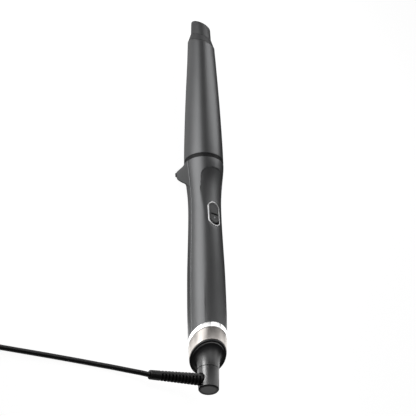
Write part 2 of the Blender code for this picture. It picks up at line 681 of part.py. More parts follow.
def make_contacts(finishes, wand):
    """Slip rings on the spindle, and the fixed brushes in their holder."""
    ring = SPINDLE_RADIUS + GAP
    clip_top = CLIP_Z + CLIP_THICKNESS
    clip = [(ring, CLIP_Z), (CLIP_RADIUS, CLIP_Z), (CLIP_RADIUS, clip_top), (ring, clip_top)]
    turned("spindle_clip", clip, finishes["steel"], wand, steps=20)
    holder = [(HOLDER_INNER, HOLDER_START), (HOLDER_OUTER, HOLDER_START), (HOLDER_OUTER, HOLDER_END),
              (HOLDER_INNER, HOLDER_END)]
    turned("brush_holder", holder, finishes["board"], wand, steps=24)
    outside = ring + RING_THICKNESS
    for wire, low, side in SLIP_RINGS:
        high = low + SLIP_RING_WIDTH
        turned("slip_ring_" + wire, [(ring, low), (outside, low), (outside, high), (ring, high)],
               finishes["brass"], wand, steps=24)
        ends = sorted((side * (outside + GAP), side * (HOLDER_INNER - GAP)))
        box("brush_" + wire, (ends[0], -BRUSH_WIDTH / 2, low + BRUSH_INSET),
            (ends[1], BRUSH_WIDTH / 2, high - BRUSH_INSET), finishes["carbon"], wand)


def make_barrel(finishes, wand):
    """Heat-shield band, barrel, its mount and its tip."""
    bore = MOUNT_RADIUS + GAP
    groove = BAND_RADIUS - BAND_GROOVE
    band = [(bore, BAND_BOTTOM), (BAND_RADIUS, BAND_BOTTOM), (BAND_RADIUS, 215.6), (groove, 215.8),
            (groove, 216.3), (BAND_RADIUS, 216.5), (BAND_RADIUS, BAND_TOP), (bore, BAND_TOP)]
    turned("heat_shield_band", band, finishes["shield"], wand)
    heights = stations_between(BARREL_START, 327.0, 22.0) + [331.0, 333.5, 335.4, BARREL_END]
    outer = [(through(BARREL_STATIONS, z), z) for z in heights]
    lip = BARREL_END - BARREL_LIP
    inner = [(radius - BARREL_WALL, z) for radius, z in outer if z < lip]
    barrel = outer + [(BARREL_LIP_INNER, BARREL_END), (BARREL_LIP_INNER, lip)] + inner[::-1]
    turned("barrel", barrel, finishes["barrel"], wand, slant=slant_tip)
    mount = [(MOUNT_BORE, MOUNT_START), (MOUNT_RADIUS, MOUNT_START), (MOUNT_RADIUS, BARREL_START),
             (MOUNT_HEAD_RADIUS, BARREL_START), (MOUNT_HEAD_RADIUS, MOUNT_END), (MOUNT_BORE, MOUNT_END)]
    turned("barrel_mount", mount, finishes["ceramic"], wand, steps=32)
    make_tip(finishes, wand)


def make_tip(finishes, wand):
    """Shoulder ring, cool tip, and the insulator and screw that hold them in the barrel."""
    bore = TIP_SPIGOT + GAP
    base = BARREL_END + GAP
    collar = [(bore, base), (SHOULDER_BASE_RADIUS, base), (SHOULDER_RADIUS, SHOULDER_END),
              (bore, SHOULDER_END)]
    turned("tip_shoulder", collar, finishes["tip"], wand, steps=40, slant=slant_tip)
    tip = [(0.0, 338.0), (1.9, 338.0), (1.9, 326.4), (TIP_SPIGOT, 326.4),
           (TIP_SPIGOT, SHOULDER_END + GAP), (TIP_RADIUS, SHOULDER_END + GAP)]
    for i in range(4):
        angle = math.pi / 2 * i / 3
        tip.append((TIP_END_RADIUS - TIP_FILLET * (1 - math.cos(angle)),
                    TIP_END - TIP_FILLET * (1 - math.sin(angle))))
    tip.append((0.0, TIP_END))
    turned("cool_tip", tip, finishes["tip"], wand, steps=40, slant=slant_tip)
    insulator = [(bore, INSULATOR_START), (INSULATOR_RADIUS, INSULATOR_START),
                 (INSULATOR_RADIUS, INSULATOR_END), (bore, INSULATOR_END)]
    turned("tip_insulator", insulator, finishes["ceramic"], wand, steps=28)
    turned("tip_screw", [(0.0, 323.6), (3.2, 323.6), (3.2, 325.8), (1.6, 325.8), (1.6, 334.0),
                         (0.0, 335.5)], finishes["steel"], wand, steps=12)


def make_heater(finishes, wand):
    """Ceramic heater between two half-round aluminium spreaders, with its sensors."""
    heights = (SPREADER_START, 265.0, 293.0, SPREADER_END)
    flat = PLATE_THICKNESS / 2 + GAP
    stations = [(z, through(BARREL_STATIONS, z) - BARREL_WALL - SPREADER_PLAY) for z in heights]
    for name, side in (("heat_spreader_upper", -1), ("heat_spreader_lower", 1)):
        half_turned(name, stations, side, finishes["aluminium"], wand, steps=14, flat=flat)
    half = PLATE_THICKNESS / 2
    box("ceramic_heater", (-PLATE_HALF_WIDTH, -half, PLATE_START), (PLATE_HALF_WIDTH, half, PLATE_END),
        finishes["ceramic"], wand)
    rod("thermistor", (4.5, 3.5), 1.1, 229.0, 236.5, finishes["glass"], wand, steps=10)
    rod("thermal_fuse", (-4.0, 3.5), 1.9, 218.0, 230.0, finishes["steel"], wand)


def make_leads(finishes, wand):
    """Leads from the board to the heater and from the brushes to the board."""
    for name, x in (("heater_lead_live", -5.6), ("heater_lead_neutral", 5.6)):
        route = [(x, -2.0, 192.6), (x, -2.6, 200.0), (x, -3.0, 212.0), (x * 0.8, -2.6, 225.0),
                 (x * 0.8, -2.0, 237.4)]
        tube(name, smooth_route(route, 4.0), 1.4, finishes["red"], wand)
    for name, x in (("supply_lead_live", 6.0), ("supply_lead_neutral", -6.0)):
        route = [(x, 2.3, 70.0), (x, 2.3, 77.0), (x, 2.3, 86.0), (x, 2.3, 97.4)]
        tube(name, smooth_route(route, 6.0), 1.8, finishes["lead"], wand)


def make_coil(finish, tie_finish):
    """Spare cord wound in a round coil, and the tie that holds it."""
    half = COIL_WIDTH / 2
    soft = 4.0
    inner = COIL_RADIUS - half
    outer = COIL_RADIUS + half
    lift = 0.1
    profile = [(inner, soft), (inner + soft, lift), (outer - soft, lift), (outer, soft),
               (outer, COIL_HEIGHT - soft), (outer - soft, COIL_HEIGHT), (inner + soft, COIL_HEIGHT),
               (inner, COIL_HEIGHT - soft)]
    coil = turned("cord_coil", profile, finish, None, steps=32)
    coil.location = (COIL_CENTRE[0] * MM, COIL_CENTRE[1] * MM, 0.0)
    middle = (COIL_CENTRE[0] + COIL_RADIUS * math.cos(TIE_ANGLE),
              COIL_CENTRE[1] + COIL_RADIUS * math.sin(TIE_ANGLE))
    tie = tie_loop("cord_tie", half, 0.0, tie_finish)
    groove = tie_loop("tie_groove", half, GAP, None, cutter=True)
    for item in (tie, groove):
        item.location = (middle[0] * MM, middle[1] * MM, 0.0)
        item.rotation_euler = (0.0, 0.0, TIE_ANGLE)
    boolean(coil, groove)


def tie_loop(name, half, play, finish, cutter=False):
    """Strap round the coil's section: X across the turns, Y along them, Z up."""
    inside = half - 1.6 - play
    low = 0.1 + TIE_THICKNESS + play
    high = COIL_HEIGHT - 1.5 - play
    outside = half - 0.4 + 3.0 * play
    base = 0.05 - 3.0 * play
    crest = COIL_HEIGHT - 0.4 + 3.0 * play
    width = TIE_WIDTH / 2 + play
    loop = box(name, (-outside, -width, base), (outside, width, crest), finish, None, cutter)
    hole = box(name + "_hole", (-inside, -20.0, low), (inside, 20.0, high), None, None, cutter=True)
    hole.parent = loop
    boolean(loop, hole)
    return loop


def make_plug(finishes):
    """Two-pin plug lying beside the coil."""
    body = [(0.0, 0.0), (3.4, 0.0), (3.8, 4.0), (5.2, 8.0), (6.4, 13.0), (6.6, PLUG_LENGTH - 1.0),
            (6.0, PLUG_LENGTH), (0.0, PLUG_LENGTH)]
    plug = turned("plug_body", body, finishes["black"], None, steps=28)
    for vert in plug.data.vertices:
        spread = min(1.0, max(0.0, (vert.co.z / MM - 4.0) / 12.0))
        vert.co.x *= 1.0 + 0.85 * spread
    plug.location = (PLUG_X * MM, PLUG_Y * MM, PLUG_HEIGHT * MM)
    plug.rotation_euler = (-math.pi / 2, 0.0, 0.0)
    start = PLUG_Y + PLUG_LENGTH + GAP
    pin = [(0.0, 0.0), (PIN_RADIUS, 0.0), (PIN_RADIUS, PIN_LENGTH - 0.8), (PIN_RADIUS - 0.8, PIN_LENGTH),
           (0.0, PIN_LENGTH)]
    for name, side in (("plug_pin_left", -1), ("plug_pin_right", 1)):
        item = turned(name, pin, finishes["brass"], None, steps=14)
        item.location = ((PLUG_X + side * PIN_SPACING) * MM, start * MM, PLUG_HEIGHT * MM)
        item.rotation_euler = (-math.pi / 2, 0.0, 0.0)


def make_cord(finishes):
    """Cord from the relief to the coil, the coil, and the tail to the plug."""
    step = 2.5 * CORD_DIAMETER
    tube("cord", smooth_route(CORD_ROUTE, step), CORD_DIAMETER, finishes["cord"])
    tube("cord_tail", smooth_route(TAIL_ROUTE, step), CORD_DIAMETER, finishes["cord"])
    make_coil(finishes["cord"], finishes["rubber"])


def make_finishes():
    """One material for each kind of surface."""
    return {
        "shell": material("charcoal_soft_touch", (0.065, 0.067, 0.07), 0.42, 0.2),
        "barrel": material("charcoal_coating", (0.055, 0.057, 0.06), 0.36, 0.4),
        "tip": material("charcoal_heatproof", (0.05, 0.052, 0.054), 0.5),
        "shield": material("dark_heatproof", (0.02, 0.02, 0.022), 0.5),
        "black": material("black_plastic", (0.015, 0.015, 0.016), 0.35),
        "rubber": material("black_rubber", (0.012, 0.012, 0.012), 0.6),
        "cord": material("cord_jacket", (0.013, 0.013, 0.014), 0.5),
        "chrome": material("bright_chrome", (0.9, 0.9, 0.9), 0.08, 1.0),
        "collar": material("satin_metal", (0.62, 0.58, 0.55), 0.3, 1.0),
        "button": material("button_plastic", (0.09, 0.092, 0.095), 0.4),
        "light": material("clear_light", (0.8, 0.82, 0.85), 0.2),
        "steel": material("zinc_steel", (0.6, 0.61, 0.63), 0.35, 1.0),
        "aluminium": material("aluminium", (0.75, 0.76, 0.78), 0.4, 1.0),
        "brass": material("brass", (0.8, 0.62, 0.3), 0.3, 1.0),
        "carbon": material("carbon_brush", (0.03, 0.03, 0.03), 0.7),
        "ceramic": material("white_ceramic", (0.82, 0.8, 0.75), 0.6),
        "glass": material("glass_bead", (0.6, 0.35, 0.2), 0.2),
        "board": material("board_laminate", (0.03, 0.22, 0.09), 0.5),
        "chip": material("chip_resin", (0.02, 0.02, 0.02), 0.5),
        "capacitor": material("capacitor_sleeve", (0.05, 0.07, 0.2), 0.4),
        "red": material("red_silicone", (0.5, 0.05, 0.04), 0.5),
        "lead": material("brown_lead", (0.2, 0.09, 0.04), 0.5),
    }


def main():
    """Build the wand, lay it on its stand and run its cord to the plug."""
    clear_scene()
    finishes = make_finishes()
    wand = bpy.data.objects.new("wand_frame", None)
    bpy.context.scene.collection.objects.link(wand)
    wand.location = (0.0, FRAME_Y * MM, FRAME_Z * MM)
    wand.rotation_euler = (TILT - math.pi / 2, 0.0, 0.0)
    make_front_shell(finishes["shell"], wand)
    make_rear_shell(finishes["shell"], wand)
    make_stand_pads(finishes["rubber"])
    make_screws(finishes["steel"], wand)
    make_button(finishes["chrome"], finishes["button"], finishes["light"], wand)
    make_switch(finishes["chip"], finishes["button"], wand)
    make_board(finishes, wand)
    make_base_rings(finishes, wand)
    make_swivel(finishes, wand)
    make_barrel(finishes, wand)
    make_heater(finishes, wand)
    make_leads(finishes, wand)
    make_cord(finishes)
    make_plug(finishes)


main()
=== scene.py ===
"""Looks of the curling wand: fine casings, rings, barrel, tip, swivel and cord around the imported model.

Lengths are in millimetres and go through MM. A wand piece is modelled upright in the wand's own frame:
+Z from the swivel to the tip, -Y towards the power button and +X to the side. WAND lays that frame down
in the scene.
"""
import json
import math

import bmesh
import bpy
import numpy as np
from mathutils import Matrix, Vector


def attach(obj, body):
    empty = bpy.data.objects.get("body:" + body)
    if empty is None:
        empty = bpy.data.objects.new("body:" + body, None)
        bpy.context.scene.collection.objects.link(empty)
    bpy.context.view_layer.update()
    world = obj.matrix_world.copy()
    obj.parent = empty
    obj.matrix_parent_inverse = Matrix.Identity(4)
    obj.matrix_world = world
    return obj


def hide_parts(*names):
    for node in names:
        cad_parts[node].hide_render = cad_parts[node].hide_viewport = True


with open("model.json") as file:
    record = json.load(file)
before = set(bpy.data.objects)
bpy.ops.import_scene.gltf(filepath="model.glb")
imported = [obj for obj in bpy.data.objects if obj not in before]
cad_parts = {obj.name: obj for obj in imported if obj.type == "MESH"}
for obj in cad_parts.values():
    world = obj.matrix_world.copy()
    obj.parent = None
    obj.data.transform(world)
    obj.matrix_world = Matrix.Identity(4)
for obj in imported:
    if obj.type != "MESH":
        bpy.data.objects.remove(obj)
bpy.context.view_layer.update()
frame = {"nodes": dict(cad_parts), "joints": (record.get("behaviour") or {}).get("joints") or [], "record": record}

MM = 0.001  # metres in a millimetre
GAP = 0.3  # clearance between neighbouring pieces
ROUND = 128  # steps round a turned piece
SHARP_ANGLE = 32.0  # edges sharper than this, in degrees, stay sharp

# Camera, in the wand's frame
AIM_Z = 173.0  # point of the axis that the camera looks at
AIM_RIGHT = 2.77  # and how far beside it
AIM_DOWN = -0.47
CAMERA_RISE = math.radians(31.3)  # line of sight from the plane square to the axis
CAMERA_TURN = math.radians(52.0)  # button direction, turned from the picture's right towards the camera
CAMERA_ROLL = math.radians(1.3)
CAMERA_DISTANCE = 3507.0
CAMERA_LENS = 364.1

# Handle
HANDLE_START = 46.9
HANDLE_END = 214.3
HANDLE_STATIONS = [
    (40.0, 16.0), (60.0, 16.2), (72.0, 16.27), (94.0, 16.0), (113.0, 15.6), (132.0, 14.9),
    (151.0, 14.2), (165.0, 13.85), (175.0, 13.8), (183.0, 14.05), (190.5, 14.6), (198.0, 15.3),
    (206.0, 16.1), (211.0, 16.5), (220.0, 16.6),
]
CAVITY_STATIONS = [
    (30.0, 14.1), (80.0, 14.1), (110.0, 13.4), (140.0, 12.2), (152.0, 10.6),
    (192.0, 10.6), (197.0, 12.2), (225.0, 12.2),
]
RECESS_HALF_WIDTH = 10.9
RECESS_TOP = 205.0
RECESS_CORNER = 7.5
RECESS_FLOOR_RADIUS = 18.0
RECESS_FLOOR_STATIONS = [
    (136.0, 15.6), (146.0, 14.5), (154.0, 13.6), (161.3, 13.3), (175.0, 12.5), (184.0, 12.4),
    (191.0, 12.7), (196.0, 13.3), (200.0, 14.1), (203.0, 14.9), (208.0, 16.2),
]
RECESS_FILLET = 0.35
SURFACE_SEARCH = (8.0, 34.0)  # radii between which the casing's surface is looked for
HALVINGS = 26
FINE_START = 134.0  # between these heights the casing's grid is fine
FINE_END = 209.0
LOWER_ROWS = 44
FINE_ROWS = 150
UPPER_ROWS = 12
HALF_COLUMNS = 109
HALF_ANGLE = math.radians(89.5)  # how far a half reaches round from its middle
EDGE_STEP = 0.025  # angle of the eased strip along the parting line
END_EASING = 0.12  # small bevel at both ends of the casing
PARTING_EASING = 0.3  # and along the parting line
CASING_SHARP_ANGLE = 40.0

# Power button
BUTTON_Z = 161.3
BEZEL_HALF_WIDTH = 6.0
BEZEL_HALF_LENGTH = 12.0
BEZEL_WALL = 1.1
BEZEL_BACK = 9.9
BEZEL_SECTION = [  # how far inside the rim's outline, and above the recess floor; None is its back
    (0.0, None), (0.0, 0.0), (0.1, 0.17), (0.28, 0.27), (0.55, 0.3), (0.82, 0.27), (1.0, 0.17),
    (BEZEL_WALL, 0.0), (BEZEL_WALL, None),
]
BEZEL_SHARP_ANGLE = 50.0
BUTTON_SHORT_END = 2.2  # by how much the button stops short of the rim at its cord end
BUTTON_BACK = 9.0
BUTTON_PROUD = 0.1
BUTTON_DISH = [  # the same for the button, from its side to the dish
    (0.0, None), (0.0, -0.35), (0.12, -0.1), (0.35, 0.0), (0.9, -0.03), (1.6, -0.09), (2.4, -0.14),
    (3.2, -0.17),
]
DISH_DEPTH = 0.18
DISH_CORE = 0.25  # half width of the flat strip along the dish's middle
OPENING_PLAY = 0.2  # round the rim, in the casing's opening
CUT_OUTSIDE = -20.0  # y from where openings are cut into the casing
CUT_ABOVE = -18.0  # and into the button
CUT_BELOW = -4.0
LIGHT_Z = BUTTON_Z - 3.6
LIGHT_RADIUS = 0.8
MARK_Z = BUTTON_Z - 0.2
MARK_HALF_LENGTH = 3.9
MARK_HALF_HEIGHT = 0.75
MARK_DEPTH = 1.6
MARK_FLOOR = 0.25  # thickness of the black strip at the bottom of the mark, painted shade that darkens the sunk bar

# Slanted ring stack at the cord end
BASE_SLOPE = 0.55
BASE_DIRECTION = math.radians(-12.7)
LEAN_END = 78.0  # height where the slant has faded out
LEAN_FADE = 25.0
RIM_Z = 30.4
RIM_RADIUS = 15.2
RIM_INNER = 13.6
NECK_Z = 19.3
NECK_RADIUS = 9.0
HORN_STEPS = 16
SPIGOT_RADIUS = 13.6
SPIGOT_END = 49.5
SPIGOT_WALL = 1.6
CAP_INSIDE = [(SPIGOT_RADIUS - SPIGOT_WALL, 34.0, 0.0), (10.0, 32.2, 0.0), (7.8, 30.5, 0.0)]
COLLAR_BOTTOM = 31.6
COLLAR_TOP = 42.3
COLLAR_RADIUS_BOTTOM = 15.4
COLLAR_RADIUS_TOP = 16.0
RING_TOP = 46.6
RING_FOOT = 16.0
RING_CROWN = 16.75
RING_CREST = RING_TOP - 0.35
RING_SUPPORTS = (0.15, 0.3, 0.85, 0.92)  # shares of the ring's slope that keep its shading flat
SPINDLE_BORE = 6.3
SPINDLE_BORE_END = 29.5

# Swivel
SWIVEL_TOP = NECK_Z - GAP
SWIVEL_RADIUS_TOP = 8.95
SWIVEL_RADIUS_END = 8.45
SWIVEL_WALL = 1.8
SWIVEL_CEILING = 16.6
SPINDLE_RADIUS = 4.5
DISC_SEAT_RADIUS = 7.25
DISC_SEAT_DEPTH = 2.0
DISC_RADIUS = 7.05
DISC_BACK = 1.7
EXIT_Z = 9.5
SOCKET_PLAY = 0.55  # the socket's radius is this much more than the relief's
SOCKET_START = 3.0
SOCKET_END = 16.0
RELIEF_DROP = math.radians(9.0)
RELIEF_BACK = math.radians(8.5)
RELIEF_START = 5.8
RELIEF_END = 55.0
RELIEF_ROOT_RADIUS = 5.2
RELIEF_TIP_RADIUS = 3.9
RELIEF_RIBS_START = 9.5
RELIEF_RIBS_END = 47.0
RELIEF_RIBS = 12
RELIEF_GROOVE = 1.7
RELIEF_SPINE = math.radians(14.0)  # where the smooth spine runs along it
RELIEF_SPINE_WIDTH = 1.2

# Barrel and tip
BAND_BOTTOM = HANDLE_END + GAP
BAND_TOP = 218.0
BAND_RADIUS = 16.5
BAND_INSIDE = 12.1
BAND_GROOVES = (BAND_BOTTOM + 0.9, BAND_BOTTOM + 2.1)
BAND_GROOVE_DEPTH = 0.35
BARREL_START = BAND_TOP + GAP
BARREL_END = 336.2
BARREL_WALL = 1.6
BARREL_SKIN = 0.06  # how far the fine barrel stays inside the faceted one
BARREL_STATIONS = [
    (210.0, 16.55), (226.0, 16.43), (250.0, 15.64), (270.0, 14.79), (290.5, 13.76), (311.0, 12.62),
    (324.0, 11.92), (330.2, 11.62), (333.5, 11.46), (335.4, 11.33), (336.2, 11.0), (337.0, 10.6),
]
BARREL_EVEN_END = 324.0  # up to here the rings of the barrel are evenly spaced
BARREL_EVEN_RINGS = 40
BARREL_END_RINGS = [326.5, 329.0, 331.0, 332.5, 333.8, 334.8, 335.5]
BARREL_INSIDE_END = 334.0
BARREL_LIP_INNER = 8.7
BARREL_LIP_BOTTOM = 334.8
TIP_SLANT_SEAM = (0.17, 0.34)
TIP_SLANT_END = (0.36, 0.36)
TIP_LEAN_START = 318.0
SHOULDER_END = 342.7
SHOULDER_RADIUS = 8.9
SHOULDER_BASE_RADIUS = 10.8
TIP_RADIUS = 8.5
TIP_END_RADIUS = 8.0
TIP_FILLET = 1.6
TIP_END = 355.8
TIP_SKIN = 0.12  # how far the fine tip stays inside the faceted one
TIP_SPIGOT = 6.2
TIP_SPIGOT_START = 326.4
SCREW_HOLE_RADIUS = 1.9
SCREW_HOLE_END = 338.0

# Stand under the handle
STAND_INSET = 0.35  # how far its sides start inside the round casing
STAND_TAPER = 0.09  # half width lost for each mm below the parting line
STAND_PROFILE = [(0.6, 214.0), (19.6, 213.5), (19.6, 206.8), (16.1, 202.4), (11.3, 198.4), (4.1, 192.5),
                 (0.6, 190.0)]
STAND_EDGE_ROUNDING = 0.9
STAND_ARCH_HALF_WIDTH = 9.0
STAND_ARCH_TOP = 16.8
STAND_ARCH_ROUNDING = 1.5
STAND_ARCH_EDGE = 0.6
STAND_BLEND = 1.4  # where the stand meets the round casing

# Cord: 4.4 mm lead, 2.7 m long
CORD_DIAMETER = 4.4
CORD_REST = CORD_DIAMETER / 2 + 0.1  # height of its centreline on the table
CORD_ROUTE = [
    (-54.0, -177.9, 7.25), (-61.5, -177.9, 5.9), (-70.0, -178.3, 4.55), (-80.0, -179.0, 3.4),
    (-90.0, -180.0, 2.7), (-101.0, -181.5, 2.3), (-120.0, -184.4, 2.3), (-150.0, -189.2, 2.3),
    (-180.0, -194.2, 2.3), (-210.0, -199.2, 2.3), (-232.3, -203.1, 2.3),
]
COIL_CENTRE = (-255.0, -174.5)
COIL_RADIUS = 24.6
COIL_ROWS = 4  # turns side by side in a layer
COIL_PITCH = 4.4
COIL_JOIN = math.radians(-81.7)
COIL_FIRST_HEIGHT = 3.0
COIL_LAYERS = 4
COIL_CROSSING = math.radians(75.0)  # part of each turn in which the lead crosses to the next one
COIL_LEAVE = math.radians(278.3)  # where the last turn is left
COIL_FALL = math.radians(135.0)  # and how long before that it starts to come down
COIL_STEP_OUT = 1.15  # by how many pitches it moves out on the way
COIL_STEP_SHARE = 0.35  # in this share of the fall
CORD_STEP = 3.0  # spacing of the points along the lead
TIE_ANGLE = math.radians(20.0)
TIE_WIDTH = 8.0
TIE_THICKNESS = 0.7
TIE_EDGE = 0.2
TIE_CORNER = 2.2
TIE_CORNER_STEPS = 8
TIE_PLAY = 0.05
TAIL_ROUTE = [
    (-289.4, -155.0, 2.3), (-287.2, -149.5, 2.3), (-285.2, -143.0, 3.6), (-284.0, -137.0, 5.9),
    (-284.0, -132.0, 7.0), (-284.0, -127.6, 7.0),
]
PLUG_X = -284.0
PLUG_Y = -127.2
PLUG_HEIGHT = 7.0
PLUG_LENGTH = 34.0
PLUG_WIDER = 0.78  # share by which the body is wider than high
PLUG_WIDER_START = 6.0
PLUG_WIDER_OVER = 14.0


def wand_frame():
    """The wand's own frame, from the swivel joint: its place and its axis."""
    joint = next(j for j in frame["joints"] if j["name"] == "cord_swivel")
    along = Vector(joint["axis"]).normalized()
    side = Vector((1.0, 0.0, 0.0))
    matrix = Matrix((side, along.cross(side), along)).transposed().to_4x4()
    matrix.translation = Vector(joint["pos_m"])
    return matrix


WAND = wand_frame()


# -------------------- shapes that repeat

def through(stations, z):
    """Smooth curve through (z, value) stations, read at z."""
    if z <= stations[0][0]:
        return stations[0][1]
    if z >= stations[-1][0]:
        return stations[-1][1]
    index = max(i for i, station in enumerate(stations[:-1]) if station[0] <= z)
    z0, v0 = stations[index]
    z1, v1 = stations[index + 1]
    before = stations[max(index - 1, 0)]
    after = stations[min(index + 2, len(stations) - 1)]
    span = z1 - z0
    slope0 = (v1 - before[1]) / (z1 - before[0]) * span
    slope1 = (after[1] - v0) / (after[0] - z0) * span
    t = (z - z0) / span
    return ((2 * t**3 - 3 * t**2 + 1) * v0 + (t**3 - 2 * t**2 + t) * slope0
            + (3 * t**2 - 2 * t**3) * v1 + (t**3 - t**2) * slope1)


def base_lean(z):
    """How far the slant of the cord end still reaches at height z, from 1 at the rim to 0."""
    if z < RIM_Z:
        return max(0.0, (z - NECK_Z) / (RIM_Z - NECK_Z))
    return max(0.0, min(1.0, (LEAN_END - z) / LEAN_FADE))


def slant_base(co):
    """Slide a point along the axis so that level rings become the slanted ones of the cord end."""
    towards = co[0] * math.sin(BASE_DIRECTION) - co[1] * math.cos(BASE_DIRECTION)
    return (co[0], co[1], co[2] + BASE_SLOPE * towards * base_lean(co[2]))


def slant_tip(co):
    """The same for the tip, whose short side lies between the button and +X."""
    grow = max(0.0, (co[2] - BARREL_END) / (TIP_END - BARREL_END))
    reach = max(0.0, min(1.0, (co[2] - TIP_LEAN_START) / (BARREL_END - TIP_LEAN_START)))
    side, front = (seam + (end - seam) * grow for seam, end in zip(TIP_SLANT_SEAM, TIP_SLANT_END))
    return (co[0], co[1], co[2] - reach * (side * co[0] - front * co[1]))


def add_piece(name, verts, faces, finish, body, nodes, place=None, sharp=SHARP_ANGLE):
    """Closed mesh from points in millimetres, riding on a body in place of its CAD nodes."""
    mesh = bpy.data.meshes.new(name)
    mesh.from_pydata([(x * MM, y * MM, z * MM) for x, y, z in verts], [], faces)
    mesh.transform(WAND if place is None else place)
    bm = bmesh.new()
    bm.from_mesh(mesh)
    bmesh.ops.remove_doubles(bm, verts=bm.verts, dist=1e-7)
    bmesh.ops.recalc_face_normals(bm, faces=bm.faces)
    bm.to_mesh(mesh)
    bm.free()
    mesh.shade_smooth()
    mesh.set_sharp_from_angle(angle=math.radians(sharp))
    item = bpy.data.objects.new(name, mesh)
    bpy.context.scene.collection.objects.link(item)
    mesh.materials.append(finish)
    if body:
        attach(item, body)
        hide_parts(*nodes)
    return item


def rounded(profile, steps=5):
    """Profile of (radius, z, fillet) points with every corner that has a fillet rounded by an arc."""
    points = []
    for i, (radius, z, fillet) in enumerate(profile):
        corner = Vector((radius, z))
        if fillet <= 0 or i in (0, len(profile) - 1):
            points.append((radius, z))
            continue
        before = Vector(profile[i - 1][:2]) - corner
        after = Vector(profile[i + 1][:2]) - corner
        angle = before.angle(after)
        reach = min(fillet / math.tan(angle / 2), 0.48 * before.length, 0.48 * after.length)
        start = corner + before.normalized() * reach
        end = corner + after.normalized() * reach
        for k in range(steps + 1):
            t = k / steps
            co = (1 - t) ** 2 * start + 2 * t * (1 - t) * corner + t**2 * end
            points.append((co.x, co.y))
    return points


def lathe(profile, steps=ROUND, slant=None):
    """Points and faces of a solid turned about Z from a closed list of (radius, z) points."""
    verts = []
    rings = []
    for radius, z in profile:
        if radius <= 1e-6:
            rings.append([len(verts)] * steps)
            verts.append((0.0, 0.0, z))
            continue
        rings.append(list(range(len(verts), len(verts) + steps)))
        for i in range(steps):
            angle = 2 * math.pi * i / steps
            verts.append((radius * math.cos(angle), radius * math.sin(angle), z))
    faces = []
    pairs = list(zip(rings, rings[1:]))
    if profile[0][0] > 1e-6 or profile[-1][0] > 1e-6:
        pairs.append((rings[-1], rings[0]))
    for low, high in pairs:
        for i in range(steps):
            j = (i + 1) % steps
            face = [low[i], low[j], high[j], high[i]]
            face = [v for k, v in enumerate(face) if v != face[k - 1]]
            if len(face) > 2:
                faces.append(face)
    if slant:
        verts = [slant(co) for co in verts]
    return verts, faces


def turned(name, profile, finish, body, nodes, steps=ROUND, slant=None, place=None):
    """Turned piece from (radius, z, fillet) points."""
    verts, faces = lathe(rounded(profile), steps, slant)
    return add_piece(name, verts, faces, finish, body, nodes, place)


def cut(item, verts, faces, place=None):
    """Take a closed shape away from a piece and keep the result as its mesh."""
    tool = add_piece("cutter", verts, faces, None, None, (), place)
    modifier = item.modifiers.new("cut", "BOOLEAN")
    modifier.operation = "DIFFERENCE"
    modifier.object = tool
    modifier.solver = "EXACT"
    bpy.context.view_layer.update()
    result = bpy.data.meshes.new_from_object(item.evaluated_get(bpy.context.evaluated_depsgraph_get()))
    item.modifiers.clear()
    old = item.data
    item.data = result
    bpy.data.meshes.remove(old)
    result.name = item.name
    bpy.data.objects.remove(tool, do_unlink=True)
    result.shade_smooth()
    result.set_sharp_from_angle(angle=math.radians(SHARP_ANGLE))


def stadium(half_width, top, bottom, steps=24):
    """Closed outline with round ends in (x, z), from z = bottom to z = top, counter-clockwise."""
    points = []
    for centre, start in ((top - half_width, 0.0), (bottom + half_width, math.pi)):
        for i in range(steps + 1):
            angle = start + math.pi * i / steps
            points.append((half_width * math.cos(angle), centre + half_width * math.sin(angle)))
    return points


def prism(outline, low, high):
    """Points and faces of a closed outline in (x, z) extruded along Y."""
    count = len(outline)
    verts = [(x, low, z) for x, z in outline] + [(x, high, z) for x, z in outline]
    faces = [list(range(count)), list(range(2 * count - 1, count - 1, -1))]
    faces += [[i, (i + 1) % count, count + (i + 1) % count, count + i] for i in range(count)]
    return verts, faces


def band_faces(rings, count):
    """Faces between rings of count points each, the last of them joined to the first."""
    faces = []
    for k in range(rings):
        low = k * count
        high = (k + 1) % rings * count
        for i in range(count):
            j = (i + 1) % count
            faces.append([low + i, low + j, high + j, high + i])
    return faces


def smooth_route(route):
    """Points about CORD_STEP apart on the smooth curve through a route."""
    result = []
    last = len(route) - 1
    for i in range(last):
        p0, p1, p2, p3 = (Vector(route[max(0, min(last, i + k))]) for k in (-1, 0, 1, 2))
        pieces = max(1, round((p2 - p1).length / CORD_STEP))
        for k in range(pieces):
            t = k / pieces
            result.append(0.5 * ((2 * p1) + (p2 - p0) * t + (2 * p0 - 5 * p1 + 4 * p2 - p3) * t**2
                                 + (3 * p1 - p0 - 3 * p2 + p3) * t**3))
    result.append(Vector(route[-1]))
    return result


# -------------------- materials

# Sockets of a colour Mix node, whose names it shares with its other data types
MIX_FACTOR = 0
MIX_A = 6
MIX_B = 7
MIX_RESULT = 2
SLOW_GRAIN = 45.0  # waves per metre of the slow changes of tone


def node(tree, kind, **values):
    """New shader node with its properties or inputs set by name."""
    item = tree.nodes.new(kind)
    for key, value in values.items():
        if key in item.inputs:
            item.inputs[key].default_value = value
        else:
            setattr(item, key, value)
    return item


